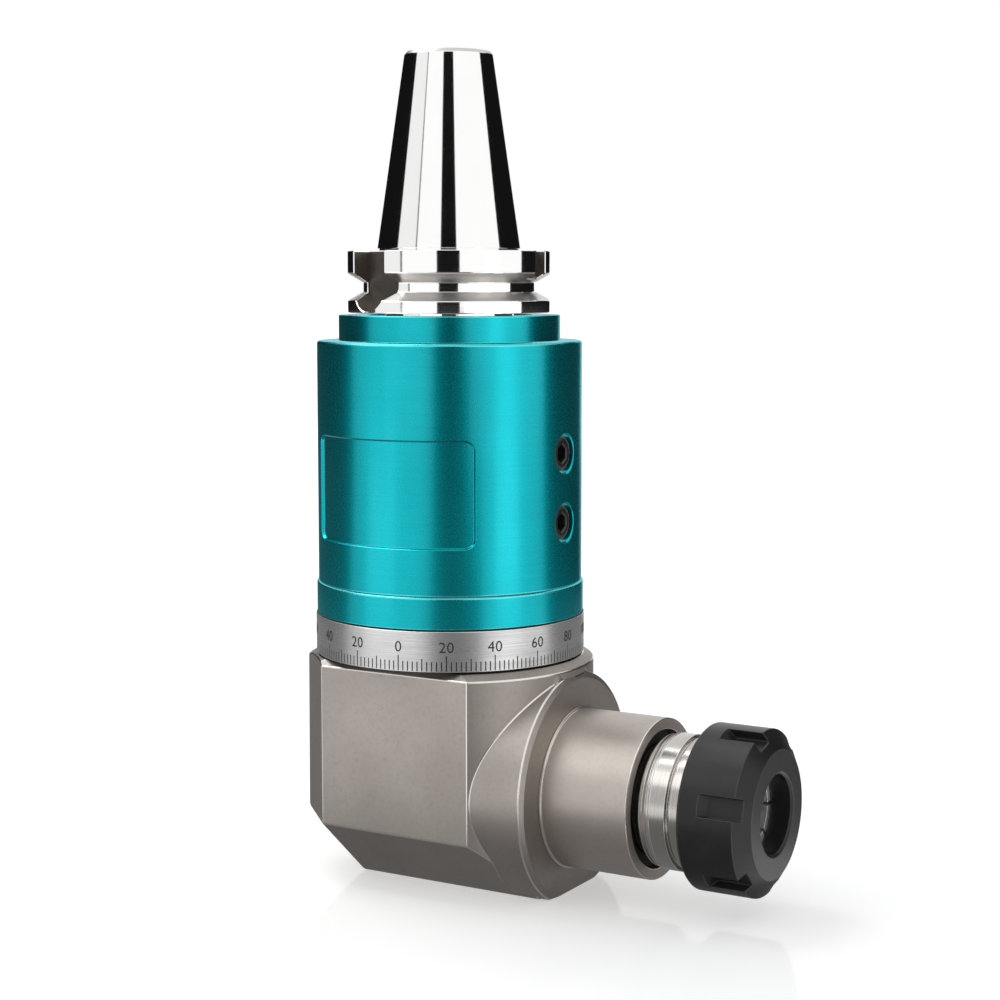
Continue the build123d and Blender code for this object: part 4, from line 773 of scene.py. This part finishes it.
# Close rows where the lower and the upper wall of the panel run, and wide ones between them.
levels = np.concatenate([
    np.linspace(96, 107, 6), np.arange(107.85, 111.3, 0.14), np.linspace(113, 136, 12),
    np.arange(137.4, 140.85, 0.14), np.linspace(142, 166, 12)])
shell_corners = ([(ring_bore, shell_low), (shell_radius, shell_low)] + [(shell_radius, z) for z in levels]
                 + [(shell_radius, shell_high - 0.6), (shell_radius - 0.6, shell_high), (34.65, shell_high),
                    (34.65, 177.05), (26, 177.05), (26, 165.5), (24.5, 165.5), (24.5, 161), (ring_bore, 161)])
shell_ease = [0.2, 0.6] + [0] * len(levels) + [0.3, 0.3, 0.15, 0.4, 0.3, 0, 0, 0, 0]
shell_blank = turned("shell_blank", eased(shell_corners, shell_ease), cut=panel_dent, angles=shell_angles)
shell_mesh = milled("body_shell_turned", shell_blank, [
    round_tool(seat_radius, seat_depth, seat_mouth, 0, shell_radius + 0.4, z) for z in screw_heights])
true_normals(shell_mesh)
finish(piece("body_shell_turned", shell_mesh), "teal_anodised", "upper_body", "body_shell")
print("shell columns:", len(shell_angles))

# %% [markdown]
# ## Socket screws
# The screws are black, with a hexagon socket. Seen from above, the socket is a ring whose radius changes
# with the angle: at angle t it is the apothem divided by the cosine of the angle to the nearest flat. So
# the whole head is one grid from its rim to the floor of the socket, with no boolean.

# %% Two socket screws
def socket_screw(height):
    """Grid of a screw along X: rows go down the shank, round the head, over its rim and down the hexagon."""
    t = np.linspace(0, 2 * np.pi, 72, endpoint=False)
    flat = 2.5 / np.cos((t + np.pi / 6) % (np.pi / 3) - np.pi / 6)
    seat, face = 34.5, 40.35
    rows = [(28.5, 0.01), (28.5, 2.98), (seat, 2.98), (seat, 5.2), (seat + 0.1, 5.3), (face - 0.95, 5.3),
            (face - 0.7, 5.22), (face - 0.3, 4.9), (face - 0.06, 4.4), (face, 4.1)]
    ring = np.array([r + 0 * t for x, r in rows] + [flat + 0.45, flat, flat, 0.05 + 0 * t])
    along = np.array([x for x, r in rows] + [face, face - 0.45, face - 3.0, face - 3.6])
    return np.stack([along[:, None] + 0 * t, ring * np.cos(t), height + ring * np.sin(t)], -1)


rim_rows = np.array([0, 0, 0, 0, 0, 1, 1, 1, 1, 0, 1, 0, 0, 0])
screw_bm = bmesh.new()
for z in screw_heights:
    screw_bm.from_mesh(shell_from_grid("screw", socket_screw(z), rim_rows))
screw_mesh = bpy.data.meshes.new("socket_screws")
screw_bm.to_mesh(screw_mesh)
screw_bm.free()
screw_mesh.shade_smooth()
screw_mesh.set_sharp_from_angle(angle=radians(32))
finish(piece("socket_screws", screw_mesh), "black_oxide", "upper_body", "body_screws")

# %% [markdown]
# ## Taper shank
# The shank fits the machine's spindle: a 7:24 cone, a flange with a V-groove for the tool changer, and two
# slots that the machine's keys drive. It is turned as one profile, and the flanks of the groove and the
# bevel at the cone's end are marked as satin. The slots are then cut with a U-shaped tool, and the notch
# with a square one.

# %% Shank with its flange
flange_low, flange_high, flange_radius = 177.65, 196.7, 31.775
groove_floor, groove_foot, groove_top = 26.9, 184.12, 187.02
key_width, key_end = 16.1, 178.15
SATIN = 2
shank_corners = [
    (15, 64), (15, 161), (20, 161), (20, flange_low), (flange_radius, flange_low), (flange_radius, 181.4),
    (groove_floor, groove_foot), (groove_floor, groove_top), (flange_radius, 189.832),
    (flange_radius, flange_high), (21.9, flange_high), (21.9, 197.4), (22.5, 197.4), (13.87, 256.6),
    (13.0, 257.65), (9.3, 257.65), (8.5, 256.85), (8.5, 250.65), (6.92, 250.65), (6.92, 223.65),
    (6.7, 223.65), (6.7, 140), (4.5, 140), (4.5, 101), (8.02, 101), (8.02, 64)]
shank_ease = [0.3, 0, 0.3, 0.2, 0.35, 0.3, 0.25, 0.25, 0.3, 0.35, 0.2, 0.1, 0.15, 0.25, 0.25, 0.2]
shank_ease += [0.1] * (len(shank_corners) - len(shank_ease))
shank_profile = eased(shank_corners, shank_ease)
run, rise = np.abs(np.roll(shank_profile, -1, 0) - shank_profile)[:, :2].T
groove_flank = (run > 2) & (rise > 1) & (rise < 4)
cone_bevel = (shank_profile[:, 1] > 256.5) & (shank_profile[:, 0] > 12.9)
shank_profile[groove_flank | cone_bevel, 2] = SATIN
shank_mesh = milled("taper_shank_turned", turned("taper_shank_turned", shank_profile, 288), [
    slot_tool(-111, 25.0, key_width, key_end, 12, True), slot_tool(69, 22.8, key_width, key_end, 14, True),
    slot_tool(3.5, flange_radius - 3.2, 7.0, groove_top, 6, False)])
broken_rims(shank_mesh, 0.3)
true_normals(shank_mesh)
finish(piece("taper_shank_turned", shank_mesh), "shank_chrome", "input_shaft", "taper_shank")

# %% [markdown]
# ## Clamping nut and collet
# The nut draws the collet into the spindle's cone. Six slots take a hook spanner; each has a flat floor
# and a ramp where the cutter ran out. The collet is slotted from both ends, so it can close on a tool.
# Their edges are rounded more than a turned profile can show, because they also run along the slots, so
# the CAD meshes are merged and bevelled here.

# %% Nut and collet from the CAD mesh
finish(honed("nut_body", "clamping_nut", 0.2, 0.35, axes=("x",)), "black_oxide", "clamping_nut",
       "clamping_nut")
finish(honed("collet_body", "collet", 0.12, axes=("x",)), "spindle_steel", "collet", "collet",
       coat="collet_steel")

# %% [markdown]
# ## Camera
# The camera stands where the photographer stood. Its place was worked out from the outlines of the taper,
# the rings and the nose, and it looks slightly down on the head.

# %% Camera
CAMERA_PLACE, CAMERA_LOOK = (0.3338, -0.5409, 0.1880), (-0.50094, 0.85865, -0.10852)
CAMERA_SIDE = np.degrees(np.arctan2(CAMERA_PLACE[1], CAMERA_PLACE[0]))
camera = bpy.data.objects.new("camera", bpy.data.cameras.new("camera"))
bpy.context.scene.collection.objects.link(camera)
camera.data.lens, camera.data.sensor_width = 72.8, 36.0
camera.data.clip_start, camera.data.clip_end = 0.01, 50
camera.location = CAMERA_PLACE
camera.rotation_euler = Vector(CAMERA_LOOK).to_track_quat("-Z", "Y").to_euler()
bpy.context.scene.camera = camera
print("camera at", CAMERA_PLACE, "from the side at", round(float(CAMERA_SIDE), 1), "degrees")

# %% [markdown]
# ## A white room
# Polished metal shows its surroundings, so the studio matters as much as the finish. The world is plain
# white for what the camera sees, and for what is seen in gloss or glass. For the light that falls on the
# head it is only half as strong, so the colours come out as they are written.

# %% World
def seen_rays(tree):
    """1 for the rays that the camera sends, straight or by way of gloss or glass, and 0 for others."""
    rays = tree.nodes.new("ShaderNodeLightPath").outputs
    seen = rays["Is Camera Ray"]
    for kind in ("Is Glossy Ray", "Is Transmission Ray"):
        seen = add_node(tree, "Math", {0: seen, 1: rays[kind]}, operation="MAXIMUM").outputs[0]
    return seen


WORLD_LIGHT, WORLD_WHITE = 0.55, 1.0
world = bpy.data.worlds.new("studio")
bpy.context.scene.world = world
world.use_nodes = True
tree = world.node_tree
level = add_node(tree, "MapRange", {0: seen_rays(tree), 3: WORLD_LIGHT, 4: WORLD_WHITE})
tree.nodes["Background"].inputs["Color"].default_value = (1, 1, 1, 1)
tree.links.new(level.outputs[0], tree.nodes["Background"].inputs["Strength"])
print("world: light", WORLD_LIGHT, "background", WORLD_WHITE)

# %% [markdown]
# ## The floor
# The head stands on a pale, slightly glossy table that runs out to a white horizon. A curved backdrop
# would do that in a real studio. Here the floor is one large square with a little glow for the camera's
# rays, which grows with the distance until the shadows have gone. Close to the head it has a weak mirror
# image, and that fades too.

# %% Floor
FLOOR_REACH, FLOOR_LEVEL = 12, -0.0002
floor_mesh = bpy.data.meshes.new("floor")
floor_mesh.from_pydata([(x * FLOOR_REACH, y * FLOOR_REACH, FLOOR_LEVEL)
                        for x, y in ((-1, -1), (1, -1), (1, 1), (-1, 1))], [], [(0, 1, 2, 3)])
floor = piece("floor", floor_mesh)
white = bpy.data.materials.new("floor_white")
white.use_nodes = True
tree = white.node_tree
spot = tree.nodes.new("ShaderNodeTexCoord").outputs["Object"]
distance = add_node(tree, "VectorMath", {0: spot}, operation="LENGTH").outputs["Value"]
mirror = add_node(tree, "MapRange", {0: distance, 1: 0.1, 2: 0.35, 3: 0.13, 4: 0.0}).outputs[0]
matt = add_node(tree, "BsdfDiffuse", {"Color": (0.85, 0.85, 0.85, 1)}).outputs[0]
gloss = add_node(tree, "BsdfGlossy", {"Roughness": 0.09}).outputs[0]
skin = add_node(tree, "MixShader", {0: mirror, 1: matt, 2: gloss}).outputs[0]
growing = add_node(tree, "MapRange", {0: distance, 1: 0.5, 2: 2.0, 3: 0.425, 4: 0.8}).outputs[0]
strength = add_node(tree, "Math", {0: seen_rays(tree), 1: growing}, operation="MULTIPLY").outputs[0]
glow = add_node(tree, "Emission", {"Strength": strength}).outputs[0]
both = add_node(tree, "AddShader", {0: skin, 1: glow}).outputs[0]
tree.links.new(both, tree.nodes["Material Output"].inputs[0])
floor_mesh.materials.append(white)
print("floor from the middle to its edge:", FLOOR_REACH, "m")

# %% [markdown]
# ## Cards for the reflections
# A photographer puts black and white cards round a shiny object, because a mirror with only white to
# reflect looks like paper. Upright black cards give the taper its crisp dark bands, and a grey one the
# pale band beside them. Cards that lie on the table do the same for the walls that look down on it. The
# dark ones there lie in the sectors of the black upright cards, as a painted reflection of those cards in
# the table, and a grey disc right under the head is a painted shadow. The camera doesn't see the cards,
# they throw no shadow, and they give no light to matt surfaces. Each glows on one side only, so the floor
# under them still mirrors the head. The teal body is left out of the others' reflections, because it
# would stain the steel below it.

# %% One card
def card(name, start, end, first, second, shade):
    """Strip between two angles, counted to the right from the camera's side.

    first and second are the (radius, height) of its outer and inner edge, and it shines upwards, or of its
    upper and lower edge, and it shines inwards.
    """
    count = max(8, int(abs(end - start) / 3))
    t = np.radians(CAMERA_SIDE + np.linspace(start, end, count))
    rows = [np.stack([radius * np.cos(t), radius * np.sin(t), 0 * t + height], -1)
            for radius, height in (first, second)]
    k = np.arange(count - 1)
    quads = np.stack([k, k + 1, k + count + 1, k + count], -1)
    mesh = bpy.data.meshes.new(name)
    mesh.from_pydata(np.concatenate(rows).tolist(), [], quads.tolist())
    paint = bpy.data.materials.new(name)
    paint.use_nodes = True
    tree = paint.node_tree
    back = tree.nodes.new("ShaderNodeNewGeometry").outputs["Backfacing"]
    light = add_node(tree, "Emission", {"Color": (shade, shade, shade, 1)}).outputs[0]
    clear = add_node(tree, "BsdfTransparent").outputs[0]
    shown = add_node(tree, "MixShader", {0: back, 1: light, 2: clear}).outputs[0]
    tree.links.new(shown, tree.nodes["Material Output"].inputs[0])
    mesh.materials.append(paint)
    made = piece(name, mesh)
    made.visible_camera = made.visible_diffuse = made.visible_shadow = False


# %% [markdown]
# ## Where the cards stand
# Seen from above, each card is a sector round the head. The angles were found from the bands in the
# photograph: a band at some angle on a cylinder shows what stands at twice that angle from the camera. The
# lower part of a black card glows lighter: painted light for the light that a white table throws on a
# card's foot.

# %% Table cards and upright cards
CARD_REACH, NEAR = 1.6, 0.58
FOOT, KNEE, STRIP_TOP, CARD_TOP = -0.5, 0.15, 0.45, 1.1
# The lighter shade of the black cards' lower parts is painted light at their foot.
BLACK, FOOT_PAINTED_LIGHT = 0.006, 0.09
table_cards = (
    # Painted shadow: the first card, a grey disc right under the head, is the floor's shade there.
    (0, 360, 0.0005, 0.12, 0.22), (0, 360, 0.12, CARD_REACH, 0.78), (-75, -24, 0.12, NEAR, 1.15),
    (-75, -48, NEAR, CARD_REACH, 1.5), (38, 60, NEAR, CARD_REACH, 1.9), (26, 87, 0.12, NEAR, 1.15),
    # Painted reflection: the dark cards from here on lie where the black upright cards stand.
    (-16, 26, 0.12, NEAR, 0.26), (-16, 26, NEAR, CARD_REACH, 0.12), (87, 155, 0.12, NEAR, 0.3),
    (87, 155, NEAR, CARD_REACH, 0.06), (-168, -94, 0.12, NEAR, 0.26), (-168, -94, NEAR, CARD_REACH, 0.14))
for index, (start, end, inner, outer, shade) in enumerate(table_cards):
    height = -0.00015 if end - start == 360 else -0.0001
    card("table_%d" % index, start, end, (outer, height), (inner, height), shade)
upright_cards = (
    (-14, 11, KNEE, CARD_TOP, BLACK), (-56, -53.5, KNEE, CARD_TOP, 0.2), (-91, -56, FOOT, CARD_TOP, 0.88),
    (87, 155, KNEE, CARD_TOP, BLACK), (-168, -91, KNEE, CARD_TOP, BLACK), (-14, 16, FOOT, KNEE, FOOT_PAINTED_LIGHT),
    (87, 155, FOOT, KNEE, FOOT_PAINTED_LIGHT), (-168, -91, FOOT, KNEE, FOOT_PAINTED_LIGHT), (40, 56, 0, STRIP_TOP, 1.6))
for index, (start, end, low, high, shade) in enumerate(upright_cards):
    card("card_%d" % index, start, end, (CARD_REACH, high), (CARD_REACH, low), shade)
for name in ("body_shell_turned", "lock_ring_turned"):
    bpy.data.objects[name].visible_glossy = False
print("cards on the table:", len(table_cards), "upright:", len(upright_cards))

# %% [markdown]
# ## Two lamps
# Soft boxes to the left and above model the round shapes and throw the soft shadow on the floor. Both are
# large and weak, because small strong lamps would burn white spots into the steel.

# %% Lamps
def lamp(name, place, aim, width, height, power):
    """Soft rectangular lamp that looks at a point."""
    data = bpy.data.lights.new(name, "AREA")
    data.shape, data.size, data.size_y, data.energy = "RECTANGLE", width, height, power
    made = bpy.data.objects.new(name, data)
    bpy.context.scene.collection.objects.link(made)
    made.location = place
    made.rotation_euler = (Vector(aim) - Vector(place)).to_track_quat("-Z", "Y").to_euler()
    print("lamp", name, power, "W")


lamp("key", (-1.1, -1.3, 1.5), (0, 0, 0.1), 1.2, 1.2, 5)
lamp("top", (-0.95, 0.1, 1.7), (0, 0, 0.1), 1.0, 1.0, 10)
bpy.context.scene.view_settings.view_transform = "Standard"
